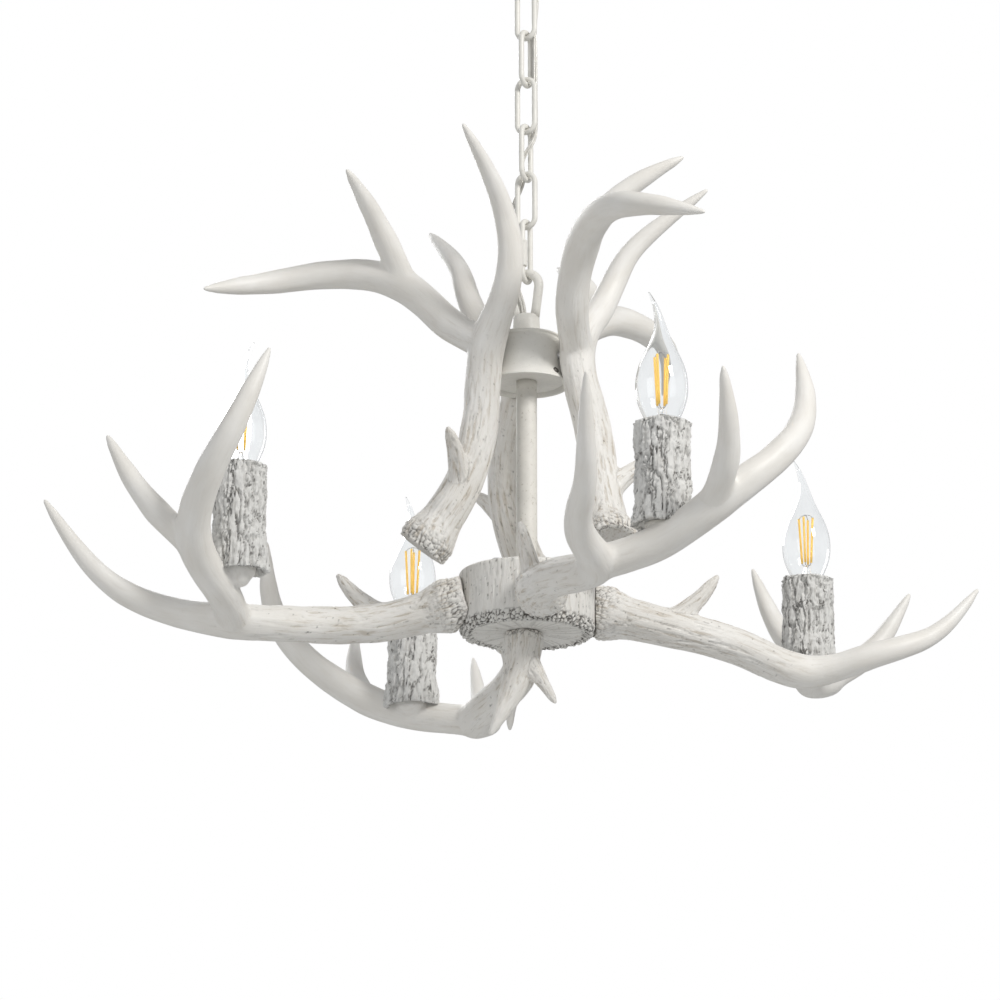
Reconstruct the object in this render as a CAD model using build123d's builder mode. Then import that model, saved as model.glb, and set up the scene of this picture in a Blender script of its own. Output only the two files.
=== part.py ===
from build123d import *
import os
from math import cos, pi, radians, sin, tan

# Antler chandelier with four candle lights. Millimetres, +Z up.
# The origin is the middle of the crossbar's two screw slots, in the plane of the ceiling.
# Everything hangs below it: canopy, chain, quick link, bell, rod, hub and seven cast antlers.

os.makedirs("parts", exist_ok=True)


# ---------------------------------------------------------------- driving dimensions

# clearances
hang_gap = 0.3           # between two wires that hang in each other
seat_gap = 0.1           # between pieces that are screwed together
thread_gap = 0.05        # radial, between a screw and its hole
screw_play = 0.08        # radial, between a bulb's cap and its socket
cast_gap = 0.3           # between a cast antler and what it is bolted to

# ceiling fitting
crossbar_length = 104.0
crossbar_width = 18.0
crossbar_thickness = 2.5
slot_length = 12.0
slot_edge = 2.0          # from a slot to the bar's end
slot_spacing = crossbar_length - slot_length - 2 * slot_edge
slot_radius = 2.6
canopy_radius = 58.0
canopy_crown_radius = 24.0
canopy_depth = 28.0
canopy_wall = 1.2
pipe_radius = 5.0        # threaded lamp pipe, at the ceiling and inside the rod
pipe_bore = 3.4
pipe_nut_radius = 8.0
pipe_nut_thickness = 4.0

# chain of welded oval links, and the eye that it starts from
chain_turn = -28.0       # the whole chain is turned about Z by this angle
link_count = 5
link_wire = 2.0          # wire radius
link_length = 45.0       # outside
link_width = 18.0        # outside

# how many flats stand for a curve, so that the whole part stays light
bend_steps = 8           # round each half-turn of a wire
round_flats = 24         # round the canopy, bell and hub
pin_flats = 16           # round pins, bolts and the holes they go in
eye_wire = 2.5
eye_radius = 10.5        # to the middle of the wire
eye_collar_radius = 9.0
eye_collar_height = 10.0

# quick link, with the screwed sleeve that closes it
quick_wire = 2.0
quick_length = 49.6
quick_width = 16.0
quick_gap = 6.0
quick_gap_drop = 8.0     # how far the gap's middle lies below the link's middle
quick_sleeve_radius = 3.2
quick_sleeve_length = 20.0
quick_sleeve_drop = 3.0
quick_sleeve_play = 0.08

# loop on top of the bell
loop_wire = 3.4
loop_radius = 10.0
loop_lean = 8.0          # degrees that each leg leans in
loop_height = 35.3       # from the collar's top to the top of the wire
collar_radius = 9.8
collar_height = 17.0

# bell
bell_height = 35.3
bell_top_radius = 24.3
bell_waist_radius = 25.2
bell_lip_radius = 30.7
bell_lip_height = 1.5
bell_waist_height = 12.0
bell_wall = 1.6
bell_top_thickness = 2.0
bell_rim = 1.2           # the thin rolled rim round the top
bell_rim_thickness = 1.5
bell_base_recess = 3.0
bell_base_thickness = 5.0
bell_screw_radius = 1.5
bell_screw_head = 2.6
bell_screw_length = 11.0
bell_screw_turn = -42.0
bell_screw_count = 3

# rod and hub
rod_radius = 7.4
rod_wall = 1.2
rod_length = 141.3
hub_radius = 48.0
hub_height = 46.0
hub_wall = 13.0
hub_floor = 10.0
hub_edge = 5.0
hub_bead = 2.4
hub_plate_thickness = 2.0
hub_plate_ledge = 7.0
hub_dish = 3.0
finial_radius = 14.0
plate_screw_radius = 1.6
plate_screw_length = 12.0
plate_screw_count = 4

# bolts that hold the antlers
arm_bolt_radius = 4.0
arm_bolt_grip = 24.0     # length inside the antler
arm_head_radius = 6.5
arm_head_thickness = 5.0
arm_head_clearance = 0.8  # so that the head's flats clear the round wall
crown_bolt_radius = 2.5
crown_bolt_grip = 12.0
crown_head_radius = 4.2
crown_head_thickness = 2.6
crown_head_clearance = 1.4
crown_bolt_height = 19.0  # above the bell's lip
stud_radius = 4.0
stud_length = 34.0

# candle sleeves, holders and bulbs
sleeve_height = 70.0
sleeve_radius = 18.2
sleeve_foot_radius = 19.8
sleeve_foot_height = 9.0
sleeve_bore = 14.2
sleeve_floor = 5.0
nipple_radius = 5.0
nipple_depth = 9.0       # length inside the antler
holder_radius = 13.4
holder_floor = 8.0
holder_drop = 2.0        # below the sleeve's mouth
socket_depth = 26.0
cap_radius = 7.0
cap_length = 23.0
bulb_radius = 17.5
bulb_neck_radius = 10.5
bulb_belly = 27.0        # height of the widest place above the neck
bulb_shoulder = 50.0     # height where the tail starts
bulb_shoulder_radius = 10.0
bulb_height = 91.0
bulb_wall = 0.9
bulb_tail_bend = 8.0
filament_length = 34.0
filament_width = 1.8
filament_circle = 4.5
filament_start = 12.0    # above the neck
stem_radius = 4.2

# leads that run down through the chain, as one bundle
lead_radius = 1.6


# ---------------------------------------------------------------- heights down the axis

def hung_in(low, upper_wire, lower_wire):
    """Height of a hanging wire's middle, given the middle of the wire that carries it."""
    return low + upper_wire + lower_wire + hang_gap


eye_low = -(canopy_depth + eye_collar_height + 2 * eye_radius)
link_span = link_length - 2 * link_wire

link_tops = []
carrier, carrier_wire = eye_low, eye_wire
for _ in range(link_count):
    link_tops.append(hung_in(carrier, carrier_wire, link_wire))
    carrier, carrier_wire = link_tops[-1] - link_span, link_wire
link_lows = [top - link_span for top in link_tops]

quick_top = hung_in(link_lows[-1], link_wire, quick_wire)
quick_low = quick_top - (quick_length - 2 * quick_wire)
quick_middle = (quick_top + quick_low) / 2
loop_top = hung_in(quick_low, quick_wire, loop_wire)
collar_top = loop_top + loop_wire - loop_height
bell_top = collar_top - collar_height
bell_low = bell_top - bell_height
rod_top = bell_low + bell_base_recess
bell_screw_height = rod_top + bell_base_thickness / 2
hub_top = rod_top - rod_length
hub_middle = hub_top - hub_height / 2
hub_low = hub_top - hub_height

# each wire hangs in the one above, and swings about the middle of that wire
pivots = [eye_low, *link_lows, quick_low]

# links hang in turn in these two planes, whose local X and Y are across and up
facing = Plane(origin=(0, 0, 0), x_dir=Vector(1, 0, 0).rotate(Axis.Z, chain_turn),
               z_dir=Vector(0, -1, 0).rotate(Axis.Z, chain_turn))
edge_on = Plane(origin=(0, 0, 0), x_dir=Vector(0, -1, 0).rotate(Axis.Z, chain_turn),
                z_dir=Vector(-1, 0, 0).rotate(Axis.Z, chain_turn))


def finish(piece, name):
    """Names a finished piece and writes it."""
    piece.label = name
    export_step(piece, f"parts/{name}.step")


def outward(azimuth, distance, height):
    """A plane that faces away from the axis at this azimuth."""
    out = Vector(cos(radians(azimuth)), sin(radians(azimuth)), 0)
    return Plane(origin=out * distance + Vector(0, 0, height), x_dir=(0, 0, 1), z_dir=out)


def skin(rings):
    """A closed form of flats through rings of points, flat at both ends."""
    flats = [Face(Wire.make_polygon(rings[0])), Face(Wire.make_polygon(rings[-1]))]
    for ring, after in zip(rings, rings[1:]):
        for a, b, c, d in zip(ring, ring[1:] + ring[:1], after[1:] + after[:1], after):
            if abs((b - a).cross(d - a).dot(c - a)) < 1e-6:
                flats.append(Face(Wire.make_polygon([a, b, c, d])))
            else:
                flats += [Face(Wire.make_polygon([a, b, c])), Face(Wire.make_polygon([a, c, d]))]
    return Solid(Shell(flats))


def ring_points(plane, radius, sides, aside=0.0):
    """The corners of a polygon round a plane's origin, or round a point aside from it along local X."""
    turns = [2 * pi * side / sides for side in range(sides)]
    return [plane.from_local_coords(Vector(aside + radius * cos(turn), radius * sin(turn))) for turn in turns]


def turned(base, levels, sides=12):
    """A turned form of many flats, through (height, radius, offset along local X) above a base plane."""
    return skin([ring_points(base.offset(level), radius, sides, aside) for level, radius, aside in levels])


def round_form(levels):
    """A turned form about the main axis, through (height, radius)."""
    return turned(Plane.XY, [(level, radius, 0) for level, radius in levels], round_flats)


def peg(radius, height, align=(Align.CENTER, Align.CENTER, Align.CENTER), mode=Mode.ADD):
    """An upright pin with flats. Subtracted, it's the hole for one."""
    return BasePartObject(turned(Plane.XY, [(0, radius, 0), (height, radius, 0)], pin_flats), align=align, mode=mode)


def hex_nut(plane, radius, thickness, bore):
    with BuildPart() as nut:
        with BuildSketch(plane):
            RegularPolygon(radius, 6)
            RegularPolygon(bore, pin_flats, mode=Mode.SUBTRACT)
        extrude(amount=thickness)
    return nut.part


def tube(low, top, radius, bore):
    with BuildPart() as pipe:
        with BuildSketch(Plane.XY.offset(low)):
            RegularPolygon(radius, pin_flats)
            RegularPolygon(bore, pin_flats, mode=Mode.SUBTRACT)
        extrude(amount=top - low)
    return pipe.part


# ---------------------------------------------------------------- ceiling fitting

with BuildPart() as crossbar:
    with BuildSketch(Plane.XY.offset(-crossbar_thickness)):
        SlotOverall(crossbar_length, crossbar_width)
        Circle(pipe_radius + thread_gap, mode=Mode.SUBTRACT)
        with GridLocations(slot_spacing, 1, 2, 1):
            SlotOverall(slot_length, 2 * slot_radius, mode=Mode.SUBTRACT)
    extrude(amount=crossbar_thickness)
finish(crossbar.part, "crossbar")

ceiling_pipe_low = -canopy_depth - eye_collar_height + 4.0
finish(tube(ceiling_pipe_low, -seat_gap, pipe_radius, pipe_bore), "ceiling_pipe")

ceiling_nut_top = Plane.XY.offset(-crossbar_thickness - seat_gap - pipe_nut_thickness)
finish(hex_nut(ceiling_nut_top, pipe_nut_radius, pipe_nut_thickness, pipe_radius + thread_gap), "ceiling_nut")

def canopy_form(inset):
    """The canopy without its hollow, moved in by inset."""
    return round_form([(0, canopy_radius - inset), (-canopy_depth * 0.2, canopy_radius - inset),
                       (-canopy_depth * 0.7, canopy_radius * 0.84 - inset),
                       (-canopy_depth + inset, canopy_crown_radius)])


with BuildPart() as canopy:
    add(canopy_form(0))
    add(canopy_form(canopy_wall), mode=Mode.SUBTRACT)
    with Locations((0, 0, -canopy_depth)):
        peg(pipe_radius + thread_gap, 3 * canopy_wall, mode=Mode.SUBTRACT)
finish(canopy.part, "canopy")


# ---------------------------------------------------------------- chain

def arc_points(middle, radius, start, sweep_angle, steps):
    """Corners of flats that touch an arc from outside, so that a bent wire stays light."""
    turn = radians(sweep_angle / steps)
    angles = [radians(start) + turn * (step + 0.5) for step in range(steps)]
    corner = radius / cos(turn / 2)
    return [(middle[0] + corner * cos(angle), middle[1] + corner * sin(angle)) for angle in angles]


def bent_wire(plane, points, wire, sides=8):
    """A wire of many flats, mitred at every bend. It closes where its first point is also its last."""
    run = [plane.from_local_coords(Vector(*point)) for point in points]
    along = (run[1] - run[0]).normalized()
    with BuildPart() as rod:
        with BuildLine() as path:
            Polyline(*run)
        with BuildSketch(Plane(origin=run[0], x_dir=plane.z_dir, z_dir=along)):
            RegularPolygon(wire, sides, major_radius=False, rotation=180 / sides)
        sweep(path=path.line, transition=Transition.RIGHT)
    return rod.part


def oval_link(plane, top, low, width, wire, gap=0.0, gap_middle=0.0):
    """An oval of wire, hung in a plane. A gap in the +X leg makes it a link that opens."""
    half = width / 2 - wire
    start = gap_middle + gap / 2 if gap else (top + low) / 2
    end = gap_middle - gap / 2 if gap else start
    return bent_wire(plane, [(half, start), *arc_points((0, top - half), half, 0, 180, bend_steps),
                             *arc_points((0, low + half), half, 180, 180, bend_steps), (half, end)], wire)


with BuildPart() as ceiling_eye:
    bow = arc_points((0, eye_low + eye_radius), eye_radius, -90, 360, 2 * bend_steps)
    add(bent_wire(edge_on, [(0, eye_low), *bow, (0, eye_low)], eye_wire))
    with Locations((0, 0, -canopy_depth - seat_gap)):
        peg(eye_collar_radius, eye_collar_height, align=(Align.CENTER, Align.CENTER, Align.MAX))
    with Locations((0, 0, -canopy_depth)):
        peg(pipe_radius + thread_gap, eye_collar_height - 3.9, align=(Align.CENTER, Align.CENTER, Align.MAX),
                 mode=Mode.SUBTRACT)
        peg(pipe_bore, eye_collar_height + 2 * eye_wire, align=(Align.CENTER, Align.CENTER, Align.MAX),
                 mode=Mode.SUBTRACT)
finish(ceiling_eye.part, "ceiling_eye")

for number in range(link_count):
    plane = edge_on if number % 2 else facing
    finish(oval_link(plane, link_tops[number], link_lows[number], link_width, link_wire),
           f"chain_link_{number + 1}")

finish(oval_link(edge_on, quick_top, quick_low, quick_width, quick_wire, quick_gap,
                 quick_middle - quick_gap_drop), "quick_link")

with BuildPart() as quick_sleeve:
    leg = edge_on.from_local_coords(Vector(quick_width / 2 - quick_wire,
                                           quick_middle - quick_sleeve_drop - quick_sleeve_length / 2))
    with BuildSketch(Plane(origin=leg, x_dir=edge_on.x_dir, z_dir=(0, 0, 1))):
        RegularPolygon(quick_sleeve_radius, 6, major_radius=False)
        RegularPolygon(quick_wire + quick_sleeve_play, 8, major_radius=False, rotation=22.5, mode=Mode.SUBTRACT)
    extrude(amount=quick_sleeve_length)
finish(quick_sleeve.part, "quick_link_sleeve")


# ---------------------------------------------------------------- loop, bell and rod

with BuildPart() as loop:
    centre = loop_top - loop_radius
    turn = radians(loop_lean)
    shoulder = (loop_radius * cos(turn), centre - loop_radius * sin(turn))
    foot_height = collar_top - loop_wire
    foot = (shoulder[0] - (shoulder[1] - foot_height) * tan(turn), foot_height)
    bow = arc_points((0, centre), loop_radius, -loop_lean, 180 + 2 * loop_lean, bend_steps + 2)
    add(bent_wire(facing, [foot, *bow, (-foot[0], foot[1])], loop_wire))
    with BuildSketch(Plane.XY.offset(bell_top + seat_gap)):
        RegularPolygon(collar_radius, pin_flats)
    extrude(amount=collar_height - seat_gap)
    with Locations((0, 0, bell_top)):
        peg(pipe_bore, collar_height + loop_wire, align=(Align.CENTER, Align.CENTER, Align.MIN),
                 mode=Mode.SUBTRACT)
        peg(pipe_radius + thread_gap, collar_height * 0.7, align=(Align.CENTER, Align.CENTER, Align.MIN),
                 mode=Mode.SUBTRACT)
finish(loop.part, "loop")


def bell_form(inset):
    """The bell without its hollow, moved in by inset."""
    return round_form([(bell_low, bell_lip_radius - inset), (bell_low + bell_lip_height, bell_lip_radius - inset),
                       (bell_low + bell_waist_height, bell_waist_radius - inset),
                       (bell_top, bell_top_radius - inset)])


def bell_flare(height):
    """The bell's outer radius at a height between its lip and its waist."""
    share = (height - bell_low - bell_lip_height) / (bell_waist_height - bell_lip_height)
    return bell_lip_radius - share * (bell_lip_radius - bell_waist_radius)


def bolt_azimuth(turn, yaw):
    """Where a crown antler comes closest to the axis."""
    return crown_seat_azimuth + turn + yaw


# how each crown antler settles on the bell: turn round the axis, then small roll, lean and yaw
crown_seat_azimuth = -142.0
crown_settings = {"left": (0, 0.9, -1.1, 3.1), "right": (120, 0.3, 0.7, -2.9), "back": (240, -1.2, 0.4, -0.1)}
crown_bolt_z = bell_low + crown_bolt_height

with BuildPart() as bell:
    add(bell_form(0))
    add(round_form([(bell_top - bell_rim_thickness, bell_top_radius + bell_rim),
                    (bell_top, bell_top_radius + bell_rim)]))
    with Locations((0, 0, -bell_top_thickness)):
        add(bell_form(bell_wall), mode=Mode.SUBTRACT)
    with Locations((0, 0, bell_top)):
        peg(pipe_radius + thread_gap, 3 * bell_top_thickness, mode=Mode.SUBTRACT)
    for turn, _, _, yaw in crown_settings.values():
        with Locations(outward(bolt_azimuth(turn, yaw), bell_waist_radius - bell_wall / 2, crown_bolt_z)):
            peg(crown_bolt_radius + thread_gap, 3 * bell_wall, mode=Mode.SUBTRACT)
    for number in range(bell_screw_count):
        with Locations(outward(bell_screw_turn + 360 / bell_screw_count * number, bell_lip_radius - bell_wall, bell_screw_height)):
            peg(bell_screw_radius + thread_gap, 6 * bell_wall, mode=Mode.SUBTRACT)
finish(bell.part, "bell")

with BuildPart() as bell_base:
    add(round_form([(level, bell_flare(level + bell_top_thickness) - bell_wall - cast_gap)
                    for level in (rod_top + seat_gap, rod_top + bell_base_thickness)]))
    with Locations((0, 0, rod_top)):
        peg(pipe_radius + thread_gap, 3 * bell_base_thickness, mode=Mode.SUBTRACT)
    for number in range(bell_screw_count):
        with Locations(outward(bell_screw_turn + 360 / bell_screw_count * number, bell_flare(bell_screw_height), bell_screw_height)):
            peg(bell_screw_radius + thread_gap, 2 * bell_screw_length, mode=Mode.SUBTRACT)
finish(bell_base.part, "bell_base")


def hex_bolt(plane, head_radius, head_thickness, shank_radius, length):
    """A bolt whose head sits on a plane and whose shank runs along the plane's normal."""
    with BuildPart() as bolt:
        with BuildSketch(plane):
            RegularPolygon(head_radius, 6)
        extrude(amount=-head_thickness)
        with BuildSketch(plane):
            RegularPolygon(shank_radius, pin_flats)
        extrude(amount=length)
    return bolt.part


with BuildPart() as bell_screws:
    for number in range(bell_screw_count):
        seat = outward(bell_screw_turn + 360 / bell_screw_count * number,
                       bell_flare(bell_screw_height - bell_screw_head) + seat_gap, bell_screw_height)
        inward = Plane(origin=seat.origin, x_dir=seat.x_dir, z_dir=-seat.z_dir)
        add(hex_bolt(inward, bell_screw_head, 1.2, bell_screw_radius, bell_screw_length - 1.0))
finish(bell_screws.part, "bell_screws")

finish(tube(hub_top + seat_gap, rod_top - seat_gap, rod_radius, rod_radius - rod_wall), "centre_rod")

tie_pipe_low = hub_top - hub_plate_thickness - pipe_nut_thickness - 4.0
finish(tube(tie_pipe_low, bell_top + collar_height * 0.6, pipe_radius, pipe_bore), "tie_pipe")

tie_nut_low = Plane.XY.offset(hub_top - hub_plate_thickness - seat_gap - pipe_nut_thickness)
finish(hex_nut(tie_nut_low, pipe_nut_radius, pipe_nut_thickness, pipe_radius + thread_gap), "tie_nut")


# ---------------------------------------------------------------- hub

ring_azimuths = {"left": -168.3, "front": -78.3, "right": 11.7, "back": 101.7}
cavity_radius = hub_radius - hub_wall
plate_radius = cavity_radius + hub_plate_ledge
plate_screw_circle = cavity_radius + hub_plate_ledge / 2
plate_screws_turned = 56.7   # so that the screws lie between the antlers' bolts

with BuildPart() as hub:
    add(round_form([(hub_low + hub_dish, finial_radius + 3.0), (hub_low + hub_bead * 0.5, hub_radius - 3 * hub_bead),
                    (hub_low, hub_radius - 2 * hub_bead), (hub_low, hub_radius - hub_bead),
                    (hub_low + 1.5 * hub_bead, hub_radius), (hub_top - hub_edge, hub_radius),
                    (hub_top, hub_radius - 0.8 * hub_edge)]))
    add(round_form([(hub_low + hub_floor, cavity_radius), (hub_top + 1, cavity_radius)]), mode=Mode.SUBTRACT)
    add(round_form([(hub_top - hub_plate_thickness, plate_radius), (hub_top + 1, plate_radius)]),
        mode=Mode.SUBTRACT)
    for azimuth in ring_azimuths.values():
        with Locations(outward(azimuth, hub_radius - hub_wall / 2, hub_middle)):
            peg(arm_bolt_radius + thread_gap, 2 * hub_wall, mode=Mode.SUBTRACT)
    with Locations((0, 0, hub_top)):
        with PolarLocations(plate_screw_circle, plate_screw_count, plate_screws_turned):
            peg(plate_screw_radius + thread_gap, plate_screw_length,
                     align=(Align.CENTER, Align.CENTER, Align.MAX), mode=Mode.SUBTRACT)
    with Locations((0, 0, hub_low)):
        peg(stud_radius + thread_gap, 3 * hub_floor, mode=Mode.SUBTRACT)
finish(hub.part, "hub")

with BuildPart() as hub_plate:
    add(round_form([(hub_top - hub_plate_thickness + seat_gap, plate_radius - seat_gap),
                    (hub_top, plate_radius - seat_gap)]))
    with Locations((0, 0, hub_top)):
        peg(pipe_radius + thread_gap, 3 * hub_plate_thickness, mode=Mode.SUBTRACT)
        with PolarLocations(plate_screw_circle, plate_screw_count, plate_screws_turned):
            peg(plate_screw_radius + thread_gap, 3 * hub_plate_thickness, mode=Mode.SUBTRACT)
finish(hub_plate.part, "hub_plate")

with BuildPart() as plate_screws:
    with PolarLocations(plate_screw_circle, plate_screw_count, plate_screws_turned):
        add(hex_bolt(Plane(origin=(0, 0, hub_top + seat_gap), z_dir=(0, 0, -1)), 2 * plate_screw_radius,
                     plate_screw_radius, plate_screw_radius, plate_screw_length - 1.0))
finish(plate_screws.part, "plate_screws")

with BuildPart() as arm_bolts:
    for azimuth in ring_azimuths.values():
        add(hex_bolt(outward(azimuth, cavity_radius - arm_head_clearance, hub_middle), arm_head_radius,
                     arm_head_thickness, arm_bolt_radius, hub_wall + arm_bolt_grip))
finish(arm_bolts.part, "arm_bolts")

with BuildPart() as crown_bolts:
    for turn, _, _, yaw in crown_settings.values():
        add(hex_bolt(outward(bolt_azimuth(turn, yaw), bell_waist_radius - bell_wall - crown_head_clearance,
                             crown_bolt_z),
                     crown_head_radius, crown_head_thickness, crown_bolt_radius, bell_wall + crown_bolt_grip))
finish(crown_bolts.part, "crown_bolts")


# ---------------------------------------------------------------- antlers

def branch(points, across, stations, sides, lead_in=0.0):
    """A tapered branch: sections square to a smooth centreline, at (share of its length, radius)."""
    with BuildLine() as centre:
        Spline(*points)
    rings = []
    if lead_in:
        butt = Plane(origin=centre.line @ 0, x_dir=across, z_dir=centre.line % 0)
        rings.append(ring_points(butt.offset(-lead_in), stations[0][1], sides))
    for share, radius in stations:
        section = Plane(origin=centre.line @ share, x_dir=across, z_dir=centre.line % share)
        rings.append(ring_points(section, radius, sides))
    return skin(rings)


# One mould gives all seven antlers. X runs out along the beam from its butt, Z is up when the
# antler lies in the lower ring. The fork is where the stem leaves the beam.
fork = (157, -2, -31)
second_fork = (196, 66, -7)
beam_points = [(1, 1, -1), (58, -17, -17), (111, -12, -25), fork, (200, -22, -21), (242, -27, -3),
               (270, -30, 26), (290, -32, 54)]
beam_stations = [(0, 17.5), (0.03, 19.0), (0.075, 14.5), (0.2, 13.2), (0.36, 12.6), (0.5, 12.8), (0.6, 10.2),
                 (0.74, 8.2), (0.87, 5.8), (0.96, 3.6), (1, 1.6)]
stem_points = [fork, (173, 35, -23), second_fork, (201, 106, 20), (186, 140, 57), (167, 148, 109)]
stem_stations = [(0, 11.5), (0.2, 11.4), (0.38, 12.2), (0.55, 10.0), (0.74, 8.8), (0.86, 6.6), (0.95, 4.0),
                 (1, 1.6)]
tine_points = [second_fork, (228, 72, 17), (261, 66, 67)]
tine_stations = [(0, 9.5), (0.4, 8.3), (0.7, 6.0), (0.93, 3.3), (1, 1.6)]
brow_points = [(43, -15, -14), (64, -23, 0), (81, -31, 21)]
brow_stations = [(0, 9.0), (0.5, 6.6), (0.9, 4.0), (1, 2.2)]
butt_allowance = 6.0     # left on the butt, for fitting it to the hub
worn_tip = (276, -31, 34)  # one antler's beam ends sooner


def casting(allowance, tip=beam_points[-1]):
    """The antler as it leaves the mould."""
    with BuildPart() as cast:
        add(branch([*beam_points[:-1], tip], (0, 1, 0), beam_stations, 12, allowance))
        add(branch(stem_points, (1, 0, 0), stem_stations, 12))
        add(branch(tine_points, (0, 1, 0), tine_stations, 8))
        add(branch(brow_points, (0, 1, 0), brow_stations, 8))
    return cast.part


def ring_place(azimuth, roll, droop, toe):
    """The place of an antler that lies in the ring: its butt is at the hub's side."""
    return (Location((0, 0, hub_middle), (0, 0, azimuth)) * Location((hub_radius, 0, 0))
            * Location((0, 0, 0), (roll, -droop, toe), Extrinsic.XYZ))


crown_butt = Plane(origin=(-73.7, -30.8, 29.4), x_dir=(0.131, -0.091, 0.987), z_dir=(-0.731, -0.682, 0.034))
crown_settle_height = 161.0


def crown_place(turn, roll, lean, yaw):
    """The place of an antler that stands against the bell."""
    settle = Location((0, 0, crown_settle_height))
    return (Location((0, 0, hub_middle), (0, 0, turn)) * settle
            * Location((0, 0, 0), (roll, -lean, yaw), Extrinsic.XYZ) * settle.inverse() * crown_butt.location)


# roll about the beam, droop and toe-in of each ring antler, in degrees, as its bolt was tightened
ring_settings = {"left": (4.6, 2.6, 1.5), "front": (4.5, 1.8, 0.4), "right": (-6.9, -2.5, 2.9),
                 "back": (-2.7, -1.7, 0.0)}

# the seat of each candle, from its antler's butt: a pad moulded on the stem beside the fork
candle_seats = {"left": (163.7, 44.2, -6.0), "front": (169.4, 42.6, -8.2), "right": (173.4, 42.3, -12.5),
                "back": (169.6, 42.3, -11.0)}
seat_pad_radius = 12.0
seat_pad_depth = 15.0
candle_feet = {name: (ring_place(azimuth, *ring_settings[name]) * Location(candle_seats[name])).position
               for name, azimuth in ring_azimuths.items()}

ring_casting = casting(butt_allowance)
worn_casting = casting(butt_allowance, worn_tip)
crown_casting = casting(0)

for name, azimuth in ring_azimuths.items():
    foot = candle_feet[name]
    with BuildPart() as antler:
        add((worn_casting if name == "right" else ring_casting).moved(ring_place(azimuth, *ring_settings[name])))
        add(turned(Plane(origin=foot), [(-seat_pad_depth, seat_pad_radius / 2, 0),
                                        (-seat_pad_depth / 2, seat_pad_radius, 0), (0, seat_pad_radius, 0)]))
        add(round_form([(hub_low - hub_height, hub_radius + cast_gap), (hub_top + hub_height, hub_radius + cast_gap)]),
            mode=Mode.SUBTRACT)
        with Locations(outward(azimuth, hub_radius - butt_allowance, hub_middle)):
            peg(arm_bolt_radius + thread_gap, butt_allowance + arm_bolt_grip,
                     align=(Align.CENTER, Align.CENTER, Align.MIN), mode=Mode.SUBTRACT)
        with Locations(foot):
            peg(sleeve_foot_radius + 1.0, 12.0, align=(Align.CENTER, Align.CENTER, Align.MIN),
                     mode=Mode.SUBTRACT)
            peg(nipple_radius + thread_gap, nipple_depth, align=(Align.CENTER, Align.CENTER, Align.MAX),
                     mode=Mode.SUBTRACT)
    finish(antler.part, f"ring_antler_{name}")

for name, (turn, roll, lean, yaw) in crown_settings.items():
    with BuildPart() as antler:
        add(crown_casting.moved(crown_place(turn, roll, lean, yaw)))
        add(bell_form(-cast_gap), mode=Mode.SUBTRACT)
        with Locations(outward(bolt_azimuth(turn, yaw), bell_waist_radius - bell_wall, crown_bolt_z)):
            peg(crown_bolt_radius + thread_gap, bell_wall + crown_bolt_grip,
                     align=(Align.CENTER, Align.CENTER, Align.MIN), mode=Mode.SUBTRACT)
    finish(antler.part, f"crown_antler_{name}")


# ---------------------------------------------------------------- finial

finial_top = hub_low + hub_dish - seat_gap
with BuildPart() as finial:
    add(branch([(-2, 0, finial_top + 2.0), (-4, -1, hub_low - 18), (-10, -3, hub_low - 38),
                (-25, -8, hub_low - 71)], (0, 1, 0), [(0, finial_radius), (0.28, 12.0), (0.5, 9.5), (0.8, 5.5), (1, 1.8)], 12))
    add(branch([(0, -3, hub_low - 16), (9, -8, hub_low - 32), (19, -14, hub_low - 50)], (0, 1, 0),
               [(0, 7.5), (0.5, 5.2), (0.9, 3.2), (1, 1.8)], 8))
    add(branch([(-8, 0, hub_low - 30), (-11, 8, hub_low - 46), (-12, 16, hub_low - 62)], (0, 1, 0),
               [(0, 6.5), (0.5, 4.6), (0.9, 2.8), (1, 1.6)], 8))
    split(bisect_by=Plane.XY.offset(finial_top), keep=Keep.BOTTOM)
    with Locations((0, 0, finial_top)):
        peg(stud_radius + thread_gap, stud_length * 0.5, align=(Align.CENTER, Align.CENTER, Align.MAX),
                 mode=Mode.SUBTRACT)
finish(finial.part, "finial")

with BuildPart() as finial_stud:
    with Locations((0, 0, finial_top - stud_length * 0.5 + 1.0)):
        peg(stud_radius, stud_length, align=(Align.CENTER, Align.CENTER, Align.MIN))
finish(finial_stud.part, "finial_stud")

floor_top = hub_low + hub_floor
finish(hex_nut(Plane.XY.offset(floor_top + seat_gap), 7.5, 5.0, stud_radius + thread_gap), "finial_nut")


# ---------------------------------------------------------------- candles and bulbs

holder_height = sleeve_height - sleeve_floor - holder_drop - seat_gap
bulb_turns = {"left": 20.0, "front": 190.0, "right": 170.0, "back": 60.0}

with BuildPart() as nipples:
    for foot in candle_feet.values():
        with Locations(foot - Vector(0, 0, nipple_depth - 1.0)):
            peg(nipple_radius, nipple_depth + sleeve_floor + holder_floor - 2.0,
                     align=(Align.CENTER, Align.CENTER, Align.MIN))
finish(nipples.part, "candle_nipples")


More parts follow.
